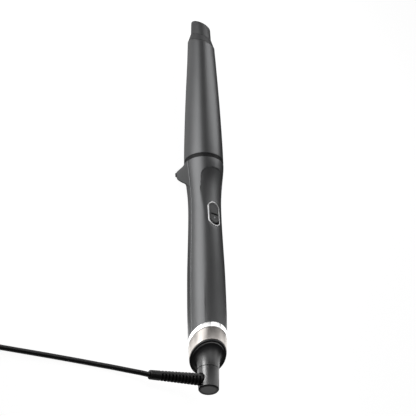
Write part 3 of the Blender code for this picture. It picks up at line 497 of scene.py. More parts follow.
def finish(name, colour, roughness, metallic=0.0, grain=900.0, depth=0.01, spread=0.06, tint=0.06,
           stretch=(1.0, 1.0, 1.0), **fixed):
    """Principled material with grain: fine bump, uneven roughness and slow changes of tone.

    grain is in waves per metre, depth in millimetres, spread and tint are shares, fixed are further sockets.
    """
    result = bpy.data.materials.new(name)
    result.use_nodes = True
    tree = result.node_tree
    shader = tree.nodes["Principled BSDF"]
    shader.inputs["Metallic"].default_value = metallic
    for key, value in fixed.items():
        shader.inputs[key.replace("_", " ")].default_value = value
    place = node(tree, "ShaderNodeTexCoord")
    mapping = node(tree, "ShaderNodeMapping", Scale=stretch)
    tree.links.new(place.outputs["Object"], mapping.inputs["Vector"])
    fine = node(tree, "ShaderNodeTexNoise", Scale=grain, Detail=4.0, Roughness=0.6)
    slow = node(tree, "ShaderNodeTexNoise", Scale=SLOW_GRAIN, Detail=3.0, Roughness=0.5)
    tree.links.new(mapping.outputs["Vector"], fine.inputs["Vector"])
    tree.links.new(mapping.outputs["Vector"], slow.inputs["Vector"])
    rough = node(tree, "ShaderNodeMapRange")
    rough.inputs["To Min"].default_value = max(0.02, roughness * (1 - 2 * spread))
    rough.inputs["To Max"].default_value = min(1.0, roughness * (1 + 2 * spread))
    tree.links.new(fine.outputs["Fac"], rough.inputs["Value"])
    tree.links.new(rough.outputs["Result"], shader.inputs["Roughness"])
    mix = node(tree, "ShaderNodeMix", data_type="RGBA")
    mix.inputs[MIX_A].default_value = (*[c * (1 - tint) for c in colour], 1.0)
    mix.inputs[MIX_B].default_value = (*[min(1.0, c * (1 + tint)) for c in colour], 1.0)
    tree.links.new(slow.outputs["Fac"], mix.inputs[MIX_FACTOR])
    tree.links.new(mix.outputs[MIX_RESULT], shader.inputs["Base Color"])
    bump = node(tree, "ShaderNodeBump", Strength=1.0, Distance=depth * MM)
    tree.links.new(fine.outputs["Fac"], bump.inputs["Height"])
    tree.links.new(bump.outputs["Normal"], shader.inputs["Normal"])
    return result


def make_finishes():
    """One material for each of the record's slots, and a duller chrome for the button's rim."""
    return {
        "shell": finish("satin_charcoal", (0.2, 0.202, 0.205), 0.42, 0.9, 1500.0, 0.014),
        "barrel": finish("satin_coating", (0.185, 0.187, 0.19), 0.4, 0.85, 1700.0, 0.009),
        "tip": finish("matt_heatproof", (0.13, 0.131, 0.133), 0.5, 0.65, 1200.0, 0.008),
        "shield": finish("dark_heatproof", (0.03, 0.03, 0.031), 0.5, 0.3, 1200.0, 0.008),
        "black": finish("black_plastic", (0.0065, 0.0065, 0.007), 0.33, 0.0, 1300.0, 0.003, IOR=1.75),
        "rubber": finish("black_rubber", (0.01, 0.01, 0.01), 0.4, 0.0, 1100.0, 0.01),
        "cord": finish("cord_jacket", (0.007, 0.007, 0.0075), 0.4, 0.0, 1600.0, 0.006),
        "chrome": finish("bright_chrome", (0.93, 0.93, 0.93), 0.12, 1.0, 700.0, 0.0005, 0.02, 0.01),
        "bezel": finish("satin_chrome", (0.97, 0.97, 0.97), 0.3, 1.0, 900.0, 0.0005, 0.02, 0.01),
        "collar": finish("satin_metal", (0.6, 0.567, 0.535), 0.34, 1.0, 60.0, 0.0002, 0.04, 0.02,
                         stretch=(1.0, 40.0, 1.0)),
        "button": finish("button_plastic", (0.085, 0.086, 0.088), 0.4, 0.0, 1500.0, 0.004),
        "light": finish("clear_light", (0.55, 0.56, 0.58), 0.2, 0.0, 900.0, 0.001),
        "steel": finish("zinc_steel", (0.6, 0.61, 0.63), 0.35, 1.0, 800.0, 0.004),
        "aluminium": finish("bare_aluminium", (0.75, 0.76, 0.78), 0.4, 1.0, 60.0, 0.004, 0.1, 0.03,
                            stretch=(30.0, 1.0, 30.0)),
        "brass": finish("bright_brass", (0.8, 0.62, 0.3), 0.28, 1.0, 900.0, 0.003),
        "carbon": finish("pressed_carbon", (0.03, 0.03, 0.03), 0.7, 0.0, 2500.0, 0.01),
        "ceramic": finish("unglazed_ceramic", (0.82, 0.8, 0.75), 0.6, 0.0, 1800.0, 0.006),
        "bead": finish("amber_bead", (0.6, 0.35, 0.2), 0.15, 0.0, 900.0, 0.001),
        "board": finish("board_laminate", (0.03, 0.22, 0.09), 0.5, 0.0, 2200.0, 0.006, tint=0.2),
        "chip": finish("moulding_resin", (0.02, 0.02, 0.02), 0.5, 0.0, 2200.0, 0.006),
        "capacitor": finish("shrink_sleeve", (0.05, 0.07, 0.2), 0.35, 0.0, 900.0, 0.003),
        "red_lead": finish("red_silicone", (0.5, 0.05, 0.04), 0.45, 0.0, 1500.0, 0.005),
        "brown_lead": finish("brown_insulation", (0.2, 0.09, 0.04), 0.45, 0.0, 1500.0, 0.005),
    }


# -------------------- camera and cord

def view_axes():
    """The camera's right, the way towards it square to the wand's axis, and that axis."""
    button = Vector((0.0, -1.0, 0.0))
    side = Vector((1.0, 0.0, 0.0))
    right = math.cos(CAMERA_TURN) * button + math.sin(CAMERA_TURN) * side
    near = math.sin(CAMERA_TURN) * button - math.cos(CAMERA_TURN) * side
    return right, near, Vector((0.0, 0.0, 1.0))


def make_camera():
    """Camera on the line of sight, looking up the wand from its cord end."""
    right, near, along = view_axes()
    back = math.cos(CAMERA_RISE) * near - math.sin(CAMERA_RISE) * along
    up = (along - along.dot(back) * back).normalized()
    rolled_right = right * math.cos(CAMERA_ROLL) - up * math.sin(CAMERA_ROLL)
    rolled_up = right * math.sin(CAMERA_ROLL) + up * math.cos(CAMERA_ROLL)
    place = along * AIM_Z + rolled_right * AIM_RIGHT - rolled_up * AIM_DOWN + back * CAMERA_DISTANCE
    local = Matrix((rolled_right, rolled_up, back)).transposed().to_4x4()
    local.translation = place * MM
    data = bpy.data.cameras.new("camera")
    data.sensor_width = 36.0
    data.lens = CAMERA_LENS
    data.clip_start = 0.05
    data.clip_end = 100.0
    camera = bpy.data.objects.new("camera", data)
    camera.matrix_world = WAND @ local
    bpy.context.scene.collection.objects.link(camera)
    bpy.context.scene.camera = camera


def smooth_share(share):
    """Share from 0 to 1 eased at both ends."""
    return share * share * (3 - 2 * share)


def coil_points():
    """Centreline of the coil: layers of turns wound in and out, and the way down to the table at its end."""
    rows = [COIL_RADIUS + COIL_PITCH * (1.5 - i) for i in range(COIL_ROWS)]
    levels = [COIL_FIRST_HEIGHT + COIL_PITCH * k for k in range(COIL_LAYERS)]
    turns = []
    for k, level in enumerate(levels):
        for radius in (rows if k % 2 == 0 else rows[::-1]):
            turns.append((radius, level))
    points = []
    count = len(turns)
    for index in range(count):
        radius, level = turns[index]
        last = index == count - 1
        following = turns[index + 1] if not last else None
        start = COIL_JOIN - 2 * math.pi * index
        sweep = 2 * math.pi
        pieces = round(sweep * radius / CORD_STEP)
        for i in range(pieces):
            turn = sweep * i / pieces
            r, h = radius, level
            if following and turn > sweep - COIL_CROSSING:
                t = smooth_share((turn - sweep + COIL_CROSSING) / COIL_CROSSING)
                r += (following[0] - radius) * t
                h += (following[1] - level) * t
            if last and turn > COIL_LEAVE:
                break
            if last and turn > COIL_LEAVE - COIL_FALL:
                t = (turn - COIL_LEAVE + COIL_FALL) / COIL_FALL
                r += COIL_PITCH * COIL_STEP_OUT * smooth_share(min(1.0, t / COIL_STEP_SHARE))
                h += (CORD_REST - level) * smooth_share(t)
            angle = start - turn
            points.append(Vector((COIL_CENTRE[0] + r * math.cos(angle),
                                  COIL_CENTRE[1] + r * math.sin(angle), h)))
    return points


def bridge(before, after):
    """Points between the end of one run of the lead and the start of the next."""
    curve = smooth_route([before[-4], before[-1], after[0], after[3]])
    start = [i for i, co in enumerate(curve) if (co - before[-1]).length < 1e-6][0]
    end = [i for i, co in enumerate(curve) if (co - after[0]).length < 1e-6][0]
    return curve[start + 1:end]


def make_cord(finishes):
    """The 2.7 m lead as one spline: out of the relief, along the table, round the coil and into the plug."""
    lead_in = smooth_route(CORD_ROUTE)
    coil = coil_points()
    tail = smooth_route(TAIL_ROUTE)
    points = lead_in + bridge(lead_in, coil) + coil + bridge(coil, tail) + tail
    data = bpy.data.curves.new("mains_cord", "CURVE")
    data.dimensions = "3D"
    data.bevel_depth = CORD_DIAMETER / 2 * MM
    data.bevel_resolution = 5
    data.use_fill_caps = True
    spline = data.splines.new("POLY")
    spline.points.add(len(points) - 1)
    for target, co in zip(spline.points, points):
        target.co = (co.x * MM, co.y * MM, co.z * MM, 1.0)
    spline.use_smooth = True
    data.materials.append(finishes["cord"])
    cord = bpy.data.objects.new("mains_cord", data)
    bpy.context.scene.collection.objects.link(cord)
    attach(cord, "swivel")
    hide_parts("cord", "cord_coil", "cord_tail")
    length = sum((b - a).length for a, b in zip(points, points[1:])) * MM
    print("cord length", round(length, 4))
    return cord


def make_tie(finishes):
    """Rubber strap round the coil, a rounded rectangle swept into a band."""
    corner = TIE_CORNER
    half = CORD_DIAMETER / 2 + 1.5 * COIL_PITCH + TIE_PLAY
    low = COIL_FIRST_HEIGHT - CORD_DIAMETER / 2 - TIE_PLAY
    high = COIL_FIRST_HEIGHT + 3 * COIL_PITCH + CORD_DIAMETER / 2 + TIE_PLAY

    def loop(grow):
        """Rounded rectangle round the coil's section, grown by a distance."""
        points = []
        radius = corner + grow
        for cx, cz, start in ((half - corner, high - corner, 0.0), (corner - half, high - corner, 90.0),
                              (corner - half, low + corner, 180.0), (half - corner, low + corner, 270.0)):
            for i in range(TIE_CORNER_STEPS + 1):
                angle = math.radians(start + 90.0 * i / TIE_CORNER_STEPS)
                points.append((cx + radius * math.cos(angle), cz + radius * math.sin(angle)))
        return points

    side = TIE_WIDTH / 2
    section = [(-side, 0.0), (-side, TIE_THICKNESS - TIE_EDGE), (TIE_EDGE - side, TIE_THICKNESS),
               (side - TIE_EDGE, TIE_THICKNESS), (side, TIE_THICKNESS - TIE_EDGE), (side, 0.0)]
    verts = []
    for along, grow in section:
        verts += [(x, along, z) for x, z in loop(grow)]
    faces = band_faces(len(section), len(verts) // len(section))
    x = COIL_CENTRE[0] + COIL_RADIUS * math.cos(TIE_ANGLE)
    y = COIL_CENTRE[1] + COIL_RADIUS * math.sin(TIE_ANGLE)
    place = Matrix.Translation((x * MM, y * MM, 0.0)) @ Matrix.Rotation(TIE_ANGLE, 4, "Z")
    return add_piece("coil_strap", verts, faces, finishes["rubber"], "swivel", ("cord_tie",), place)


def make_plug(finishes):
    """Casing of the flat two-pin plug: a neck with grip steps and a wide body. Its pins are the CAD's own."""
    profile = [(0.0, 0.0, 0.0), (3.2, 0.0, 0.5), (3.5, 3.6, 0.2), (3.9, 4.0, 0.2),
               (4.1, 6.4, 0.2), (3.8, 6.8, 0.2), (4.4, 7.6, 0.2), (4.7, 9.6, 0.2),
               (4.4, 10.0, 0.2), (6.2, 15.0, 3.0),
               (6.7, 20.0, 4.0), (6.7, PLUG_LENGTH, 1.2), (0.0, PLUG_LENGTH, 0.0)]
    verts, faces = lathe(rounded(profile), 96)
    widened = []
    for x, y, z in verts:
        t = min(1.0, max(0.0, (z - PLUG_WIDER_START) / PLUG_WIDER_OVER))
        widened.append((x * (1.0 + PLUG_WIDER * smooth_share(t)), y, z))
    turn = Matrix.Rotation(-math.pi / 2, 4, "X")
    place = Matrix.Translation((PLUG_X * MM, PLUG_Y * MM, PLUG_HEIGHT * MM)) @ turn
    return add_piece("plug_casing", widened, faces, finishes["black"], "swivel", ("plug_body",),
                     place)


# -------------------- casing

def smooth_max(a, b, width):
    """Larger of two fields, with their crossing rounded over a width."""
    h = np.clip(0.5 + 0.5 * (a - b) / width, 0.0, 1.0)
    return b + (a - b) * h + width * h * (1.0 - h)


def smooth_min(a, b, width):
    """Smaller of two fields, with their crossing rounded over a width."""
    return -smooth_max(-a, -b, width)


def floor_height(x, z):
    """Distance of the recess floor from the plane of the parting line."""
    return through(RECESS_FLOOR_STATIONS, z) - RECESS_FLOOR_RADIUS + math.sqrt(RECESS_FLOOR_RADIUS**2 - x * x)


def front_field(x, y, z, outer, crown):
    """Negative inside the upper casing: a round body less the space over the recess floor."""
    body = np.hypot(x, y) - outer
    across = np.abs(x) - (RECESS_HALF_WIDTH - RECESS_CORNER)
    above = z - (RECESS_TOP - RECESS_CORNER)
    outline = (np.hypot(np.maximum(across, 0.0), np.maximum(above, 0.0))
               + np.minimum(np.maximum(across, above), 0.0) - RECESS_CORNER)
    over_floor = RECESS_FLOOR_RADIUS - np.hypot(x, y + crown - RECESS_FLOOR_RADIUS)
    space = smooth_max(outline, over_floor, RECESS_FILLET)
    return smooth_max(body, -space, RECESS_FILLET)


def rear_field(x, y, z, outer, crown):
    """Negative inside the lower casing: a round body joined with the two-footed stand."""
    body = np.hypot(x, y) - outer
    faces = []
    for (y0, z0), (y1, z1) in zip(STAND_PROFILE, STAND_PROFILE[1:]):
        length = math.hypot(y1 - y0, z1 - z0)
        faces.append(((y - y0) * (z0 - z1) + (z - z0) * (y1 - y0)) / length)
    faces.append(np.abs(x) - outer + STAND_INSET + STAND_TAPER * y)
    stand = faces[0]
    for face in faces[1:]:
        stand = smooth_max(stand, face, STAND_EDGE_ROUNDING)
    arch = smooth_max(np.abs(x) - STAND_ARCH_HALF_WIDTH, STAND_ARCH_TOP - y, STAND_ARCH_ROUNDING)
    stand = smooth_max(stand, -arch, STAND_ARCH_EDGE)
    return smooth_min(body, stand, STAND_BLEND)


def surface_radius(field, angles, heights, side):
    """Radius of a field's surface on a grid of angles and heights, found by halving."""
    angle, z = np.meshgrid(angles, heights)
    outer = np.array([through(HANDLE_STATIONS, h) for h in heights])[:, None]
    crown = np.array([through(RECESS_FLOOR_STATIONS, h) for h in heights])[:, None]
    low = np.full(angle.shape, SURFACE_SEARCH[0])
    high = np.full(angle.shape, SURFACE_SEARCH[1])
    for _ in range(HALVINGS):
        middle = (low + high) / 2
        inside = field(middle * np.sin(angle), -side * middle * np.cos(angle), z, outer, crown) < 0
        low = np.where(inside, middle, low)
        high = np.where(inside, high, middle)
    return (low + high) / 2


def casing_heights():
    """Heights of the casing's grid, fine round the recess and the stand."""
    lower = np.linspace(HANDLE_START + END_EASING, FINE_START, LOWER_ROWS, endpoint=False)
    fine = np.linspace(FINE_START, FINE_END, FINE_ROWS, endpoint=False)
    upper = np.linspace(FINE_END, HANDLE_END - END_EASING, UPPER_ROWS)
    return np.concatenate([[HANDLE_START], lower, fine, upper, [HANDLE_END]])


def casing_half(name, field, side, finish_used, node_name):
    """Half of the handle: outer surface from a field, hollow inside, edges eased along the parting line."""
    eased = HALF_ANGLE - EDGE_STEP
    angles = np.concatenate([[-HALF_ANGLE], np.linspace(-eased, eased, HALF_COLUMNS), [HALF_ANGLE]])
    heights = casing_heights()
    radii = surface_radius(field, angles, heights, side)
    radii[0] -= END_EASING
    radii[-1] -= END_EASING
    radii[:, 0] -= PARTING_EASING
    radii[:, -1] -= PARTING_EASING
    hollow = np.array([through(CAVITY_STATIONS, h) for h in heights])[:, None] * np.ones_like(radii)
    verts = []
    for grid in (radii, hollow):
        for z, row in zip(heights, grid):
            for angle, radius in zip(angles, row):
                co = (radius * math.sin(angle), -side * radius * math.cos(angle), z)
                verts.append(slant_base(co))
    rows, columns = radii.shape
    inner = rows * columns
    faces = []
    for i in range(rows - 1):
        for j in range(columns - 1):
            a, b = i * columns + j, (i + 1) * columns + j
            faces.append([a, a + 1, b + 1, b])
            faces.append([inner + a, inner + b, inner + b + 1, inner + a + 1])
        for j in (0, columns - 1):
            a, b = i * columns + j, (i + 1) * columns + j
            faces.append([a, b, inner + b, inner + a])
    for i in (0, rows - 1):
        for j in range(columns - 1):
            a = i * columns + j
            faces.append([a, inner + a, inner + a + 1, a + 1])
    return add_piece(name, verts, faces, finish_used, "wand", (node_name,), sharp=CASING_SHARP_ANGLE)


def make_casing(finishes):
    """Both halves of the handle, the upper one opened for the button."""
    upper = casing_half("upper_casing", front_field, 1, finishes["shell"], "front_shell")
    half = BEZEL_HALF_LENGTH + OPENING_PLAY
    outline = stadium(BEZEL_HALF_WIDTH + OPENING_PLAY, BUTTON_Z + half, BUTTON_Z - half)
    cut(upper, *prism(outline, CUT_OUTSIDE, CUT_BELOW))
    casing_half("lower_casing", rear_field, -1, finishes["shell"], "rear_shell")


# -------------------- button

def make_bezel(finishes):
    """Bright rim round the button, with a rounded crest that follows the recess floor."""
    verts = []
    for inset, lift in BEZEL_SECTION:
        outline = stadium(BEZEL_HALF_WIDTH - inset, BUTTON_Z + BEZEL_HALF_LENGTH - inset,
                          BUTTON_Z - BEZEL_HALF_LENGTH + inset)
        for x, z in outline:
            depth = BEZEL_BACK if lift is None else floor_height(x, z) + lift
            verts.append((x, -depth, z))
    faces = band_faces(len(BEZEL_SECTION), len(verts) // len(BEZEL_SECTION))
    add_piece("bezel_rim", verts, faces, finishes["bezel"], "wand", ("button_bezel",),
              sharp=BEZEL_SHARP_ANGLE)


def make_button(finishes):
    """Dished button with an eased edge, its light and a sunk bar, whose floor holds a black strip of painted
    shade.
    """
    play = BEZEL_WALL + GAP
    half = BEZEL_HALF_WIDTH - play
    top = BUTTON_Z + BEZEL_HALF_LENGTH - play
    bottom = BUTTON_Z - BEZEL_HALF_LENGTH + play + BUTTON_SHORT_END
    rings = BUTTON_DISH + [(half - DISH_CORE, -DISH_DEPTH)]
    verts = []
    for inset, lift in rings:
        for x, z in stadium(half - inset, top - inset, bottom + inset):
            depth = BUTTON_BACK if lift is None else floor_height(x, z) + BUTTON_PROUD + lift
            verts.append((x, -depth, z))
    count = len(verts) // len(rings)
    faces = [list(range(count))]
    for k in range(len(rings) - 1):
        for i in range(count):
            j = (i + 1) % count
            faces.append([k * count + i, k * count + j, (k + 1) * count + j, (k + 1) * count + i])
    last = (len(rings) - 1) * count
    arc = count // 2
    for i in range(arc // 2):
        faces.append([last + i, last + i + 1, last + arc - i - 2, last + arc - i - 1])
        faces.append([last + arc + i, last + arc + i + 1, last + count - i - 2, last + count - i - 1])
    faces.append([last, last + arc - 1, last + arc, last + count - 1])
    button = add_piece("button_cap", verts, faces, finishes["button"], "button", ("power_button",))
    hole = [(LIGHT_RADIUS + 0.1) * Vector((math.cos(a), math.sin(a)))
            for a in (2 * math.pi * i / 32 for i in range(32))]
    cut(button, *prism([(p.x, LIGHT_Z + p.y) for p in hole], CUT_ABOVE, CUT_BELOW))
    height = floor_height(0.0, LIGHT_Z) + BUTTON_PROUD
    dome = [(0.0, BUTTON_BACK, 0.0), (LIGHT_RADIUS, BUTTON_BACK, 0.0), (LIGHT_RADIUS, height - 0.15, 0.3),
            (LIGHT_RADIUS * 0.6, height - 0.02, 0.4), (0.0, height, 0.0)]
    place = WAND @ Matrix.Translation((0.0, 0.0, LIGHT_Z * MM)) @ Matrix.Rotation(math.pi / 2, 4, "X")
    turned("button_light", dome, finishes["light"], "button", ("light_pipe",), steps=32, place=place)
    slot = stadium(MARK_HALF_HEIGHT, MARK_HALF_LENGTH, -MARK_HALF_LENGTH, 8)
    crest = floor_height(0.0, MARK_Z) + BUTTON_PROUD
    cut(button, *prism([(z, MARK_Z + x) for x, z in slot], CUT_ABOVE, MARK_DEPTH - crest))
    # Black strip on the floor of the sunk bar: painted shade that darkens the groove
    shade_strip = stadium(MARK_HALF_HEIGHT - 0.03, MARK_HALF_LENGTH - 0.03, 0.03 - MARK_HALF_LENGTH, 8)
    verts, faces = prism([(z, MARK_Z + x) for x, z in shade_strip],
                         MARK_DEPTH - MARK_FLOOR - crest, MARK_DEPTH - 0.01 - crest)
    add_piece("button_mark_shade", verts, faces, finishes["rubber"], "button", ())


# -------------------- base rings and swivel

def make_base_rings(finishes):
    """Bright ring, satin collar and the black end cap with its trumpet neck."""
    sleeve = SPIGOT_RADIUS + GAP
    low = COLLAR_TOP + GAP
    slope = [(RING_FOOT + (RING_CROWN - RING_FOOT) * share, low + (RING_CREST - low) * share, 0.0)
             for share in RING_SUPPORTS]
    crown = [(sleeve, low, 0.0), (RING_FOOT, low, 0.4)] + slope
    crown += [(RING_CROWN, RING_CREST, 0.25), (RING_FOOT, RING_TOP, 0.1), (sleeve, RING_TOP, 0.0)]
    turned("bright_ring", crown, finishes["chrome"], "wand", ("chrome_ring",), slant=slant_base)
    collar = [(sleeve, COLLAR_BOTTOM, 0.0), (COLLAR_RADIUS_BOTTOM, COLLAR_BOTTOM, 0.35),
              (COLLAR_RADIUS_TOP, COLLAR_TOP, 0.2), (sleeve, COLLAR_TOP, 0.0)]
    turned("satin_collar", collar, finishes["collar"], "wand", ("metal_collar",), slant=slant_base)
    horn = []
    for i in range(HORN_STEPS + 1):
        angle = math.pi / 2 * i / HORN_STEPS
        horn.append((RIM_INNER - (RIM_INNER - NECK_RADIUS) * math.cos(angle),
                     NECK_Z + (RIM_Z - 0.5 - NECK_Z) * math.sin(angle), 0.0))
    cap = [(SPINDLE_BORE, NECK_Z, 0.0)] + horn
    cap += [(RIM_INNER + 0.2, RIM_Z, 0.2), (RIM_RADIUS - 0.1, RIM_Z, 0.3), (RIM_RADIUS, RIM_Z + 0.5, 0.1),
            (RIM_RADIUS, COLLAR_BOTTOM - GAP, 0.0), (SPIGOT_RADIUS, COLLAR_BOTTOM - GAP, 0.0),
            (SPIGOT_RADIUS, SPIGOT_END, 0.3), (SPIGOT_RADIUS - SPIGOT_WALL, SPIGOT_END, 0.3)]
    cap += CAP_INSIDE + [(SPINDLE_BORE, SPINDLE_BORE_END, 0.0)]
    turned("trumpet_cap", cap, finishes["black"], "wand", ("end_cap",), slant=slant_base)


def relief_frame():
    """Frame of the strain relief: +Z along the way out of the swivel."""
    flat = math.cos(RELIEF_BACK)
    way = Vector((-math.cos(RELIEF_DROP) * flat, math.sin(RELIEF_DROP) * flat, -math.sin(RELIEF_BACK)))
    turn = way.to_track_quat("Z", "Y").to_matrix().to_4x4()
    return WAND @ Matrix.Translation((0.0, 0.0, EXIT_Z * MM)) @ turn


def relief_radius(s):
    """Outer radius of the relief at a distance along it."""
    share = (s - RELIEF_START) / (RELIEF_END - RELIEF_START)
    return RELIEF_ROOT_RADIUS + (RELIEF_TIP_RADIUS - RELIEF_ROOT_RADIUS) * share


def make_swivel(finishes):
    """Turning housing with a socket for the relief, its end disc and the ribbed relief."""
    inner = SWIVEL_RADIUS_END - SWIVEL_WALL
    bore = SPINDLE_RADIUS + GAP
    housing = [(bore, SWIVEL_TOP, 0.0), (SWIVEL_RADIUS_TOP, SWIVEL_TOP, 0.25), (SWIVEL_RADIUS_END, 1.0, 0.2),
               (SWIVEL_RADIUS_END - 0.7, 0.0, 0.3), (DISC_SEAT_RADIUS, 0.0, 0.1),
               (DISC_SEAT_RADIUS, DISC_SEAT_DEPTH, 0.0), (inner, DISC_SEAT_DEPTH, 0.0),
               (inner, SWIVEL_CEILING, 0.0), (bore, SWIVEL_CEILING, 0.0)]
    body = turned("swivel_casing", housing, finishes["black"], "swivel", ("swivel_housing",))
    socket = RELIEF_ROOT_RADIUS + SOCKET_PLAY
    hole = [(0.0, SOCKET_START), (socket, SOCKET_START), (socket, SOCKET_END), (0.0, SOCKET_END)]
    verts, faces = lathe(hole, 72)
    cut(body, verts, faces, relief_frame())
    disc = [(0.0, DISC_BACK, 0.0), (DISC_RADIUS, DISC_BACK, 0.0), (DISC_RADIUS, 0.12, 0.3), (6.4, 0.0, 0.3),
            (6.1, 0.25, 0.2), (0.0, 0.3, 0.0)]
    turned("swivel_cover", disc, finishes["black"], "swivel", ("swivel_end_disc",))
    make_relief(finishes)


def make_relief(finishes):
    """Ribbed relief: a core, thin ribs, a smooth spine along its side and a smooth collar at its end."""
    pitch = (RELIEF_RIBS_END - RELIEF_RIBS_START) / RELIEF_RIBS
    profile = [(0.0, RELIEF_START, 0.0), (relief_radius(RELIEF_START) - 0.3, RELIEF_START, 0.5),
               (relief_radius(RELIEF_RIBS_START), RELIEF_RIBS_START, 0.25)]
    for i in range(RELIEF_RIBS):
        low = RELIEF_RIBS_START + pitch * i
        radius = relief_radius(low)
        core = radius - RELIEF_GROOVE
        profile += [(core, low + 0.08 * pitch, 0.2), (core, low + 0.5 * pitch, 0.2),
                    (radius, low + 0.58 * pitch, 0.25), (relief_radius(low + pitch), low + pitch, 0.25)]
    profile += [(RELIEF_TIP_RADIUS, RELIEF_END, 0.9), (0.0, RELIEF_END, 0.0)]
    verts, faces = lathe(rounded(profile, 3), 64)
    filled = []
    for x, y, z in verts:
        radius = math.hypot(x, y)
        full = relief_radius(z)
        off = abs(math.remainder(math.atan2(y, x) - RELIEF_SPINE, 2 * math.pi)) * full
        ribbed = RELIEF_RIBS_START < z < RELIEF_RIBS_END
        if ribbed and radius > full - RELIEF_GROOVE - 0.05 and off < RELIEF_SPINE_WIDTH:
            grow = full / radius
            x, y = x * grow, y * grow
        filled.append((x, y, z))
    add_piece("ribbed_relief", filled, faces, finishes["rubber"], "swivel", ("strain_relief",),
              relief_frame())


# -------------------- barrel and tip

def make_barrel(finishes):
    """Grooved heat-shield band, tapered barrel, shoulder and cool tip."""
    groove = BAND_RADIUS - BAND_GROOVE_DEPTH
    band = [(BAND_INSIDE, BAND_BOTTOM, 0.0), (BAND_RADIUS, BAND_BOTTOM, 0.2)]
    for z in BAND_GROOVES:
        band += [(BAND_RADIUS, z, 0.05), (groove, z + 0.12, 0.05), (groove, z + 0.4, 0.05),
                 (BAND_RADIUS, z + 0.52, 0.05)]
    band += [(BAND_RADIUS, BAND_TOP, 0.2), (BAND_INSIDE, BAND_TOP, 0.0)]
    turned("shield_band", band, finishes["shield"], "wand", ("heat_shield_band",))
    heights = list(np.linspace(BARREL_START, BARREL_EVEN_END, BARREL_EVEN_RINGS)) + BARREL_END_RINGS
    outer = [(through(BARREL_STATIONS, z) - BARREL_SKIN, z, 0.0) for z in heights]
    inner = [(through(BARREL_STATIONS, z) - BARREL_WALL, z, 0.0) for z in heights
             if z < BARREL_INSIDE_END]
    barrel = outer + [(through(BARREL_STATIONS, BARREL_END), BARREL_END, 0.15),
                      (BARREL_LIP_INNER, BARREL_END, 0.0), (BARREL_LIP_INNER, BARREL_LIP_BOTTOM, 0.0)]
    barrel += inner[::-1]
    turned("coated_barrel", barrel, finishes["barrel"], "wand", ("barrel",), slant=slant_tip)
    shoulder = [(TIP_SPIGOT + GAP, BARREL_END + GAP, 0.0), (SHOULDER_BASE_RADIUS, BARREL_END + GAP, 0.25),
                (SHOULDER_RADIUS, SHOULDER_END, 0.2), (TIP_SPIGOT + GAP, SHOULDER_END, 0.0)]
    turned("tip_collar", shoulder, finishes["tip"], "wand", ("tip_shoulder",), slant=slant_tip)
    top = TIP_END - TIP_SKIN
    tip = [(0.0, SCREW_HOLE_END, 0.0), (SCREW_HOLE_RADIUS, SCREW_HOLE_END, 0.0),
           (SCREW_HOLE_RADIUS, TIP_SPIGOT_START, 0.0), (TIP_SPIGOT, TIP_SPIGOT_START, 0.2),
           (TIP_SPIGOT, SHOULDER_END + GAP, 0.0), (TIP_RADIUS, SHOULDER_END + GAP, 0.2),
           (TIP_END_RADIUS, top, TIP_FILLET), (0.0, top, 0.0)]
    turned("cap_tip", tip, finishes["tip"], "wand", ("cool_tip",), slant=slant_tip)


# -------------------- stage

FLOOR_HALF_SIZE = 40.0  # in metres
FLOOR_TONE = 0.22
FLOOR_GLOW = 0.95  # light of its own, so that it is nearly white


def make_floor():
    """Pale table that only takes a faint shadow."""
    bm = bmesh.new()
    bmesh.ops.create_grid(bm, x_segments=2, y_segments=2, size=FLOOR_HALF_SIZE)
    mesh = bpy.data.meshes.new("floor")
    bm.to_mesh(mesh)
    bm.free()
    floor = bpy.data.objects.new("floor", mesh)
    bpy.context.scene.collection.objects.link(floor)
    material = bpy.data.materials.new("pale_floor")
    material.use_nodes = True
    tree = material.node_tree
    shader = tree.nodes["Principled BSDF"]
    shader.inputs["Base Color"].default_value = (FLOOR_TONE, FLOOR_TONE, FLOOR_TONE, 1.0)
    shader.inputs["Roughness"].default_value = 1.0
    shader.inputs["Specular IOR Level"].default_value = 0.0
    shader.inputs["Emission Color"].default_value = (1.0, 1.0, 1.0, 1.0)
    shader.inputs["Emission Strength"].default_value = FLOOR_GLOW
    mesh.materials.append(material)
    floor.visible_diffuse = False
    floor.visible_glossy = False
    floor.visible_shadow = False


def studio_direction(turn, rise):
    """World direction, turned to the right of the line of sight round the wand and raised towards the tip."""
    right, near, along = view_axes()
    a, e = math.radians(turn), math.radians(rise)
    local = math.cos(e) * (math.cos(a) * near + math.sin(a) * right) + math.sin(e) * along
    return (WAND.to_3x3() @ local).normalized()


# Soft patches of the surroundings: turn and rise of the middle, inner and outer half angle in degrees,
# and strength
SOFT_PATCHES = [
    (-64.0, 30.0, 10.0, 54.0, 0.55),
    (84.0, 30.0, 8.0, 34.0, 0.27),
    (180.0, -31.0, 10.0, 34.0, 0.5),
    (0.0, 90.0, 14.0, 40.0, 0.3),
]
STUDIO_BASE = 0.052

# Lamps aimed at the wand: name, height aimed at, turn, rise, distance, width, length, lean and spread in
# degrees, and radiance
LAMPS = [
    ("key_lamp", 95.0, -35.0, 31.0, 360.0, 300.0, 340.0, 32.0, 180.0, 1.45),
    ("barrel_lamp", 303.0, 69.0, 31.0, 220.0, 160.0, 240.0, 55.0, 180.0, 1.45),
    ("far_side_lamp", 285.0, -125.0, 31.0, 220.0, 160.0, 240.0, 0.0, 180.0, 0.45),
    ("swivel_lamp", 7.0, -44.0, 31.0, 80.0, 110.0, 20.0, 0.0, 34.0, 0.62),
]
# Low lamps all round the bright ring, which mirrors them: turn and rise. They overlap a little.
RING_LAMPS = [
    (0.0, 4.0), (52.0, 7.0), (-52.0, 7.0), (104.0, 16.0), (-104.0, 16.0), (156.0, 26.0), (-156.0, 26.0),
]
LAMPS += [("ring_lamp_%d" % (i + 1), 42.0, turn, rise, 150.0, 164.0, 46.0, 0.0, 180.0, 1.3)
          for i, (turn, rise) in enumerate(RING_LAMPS)]


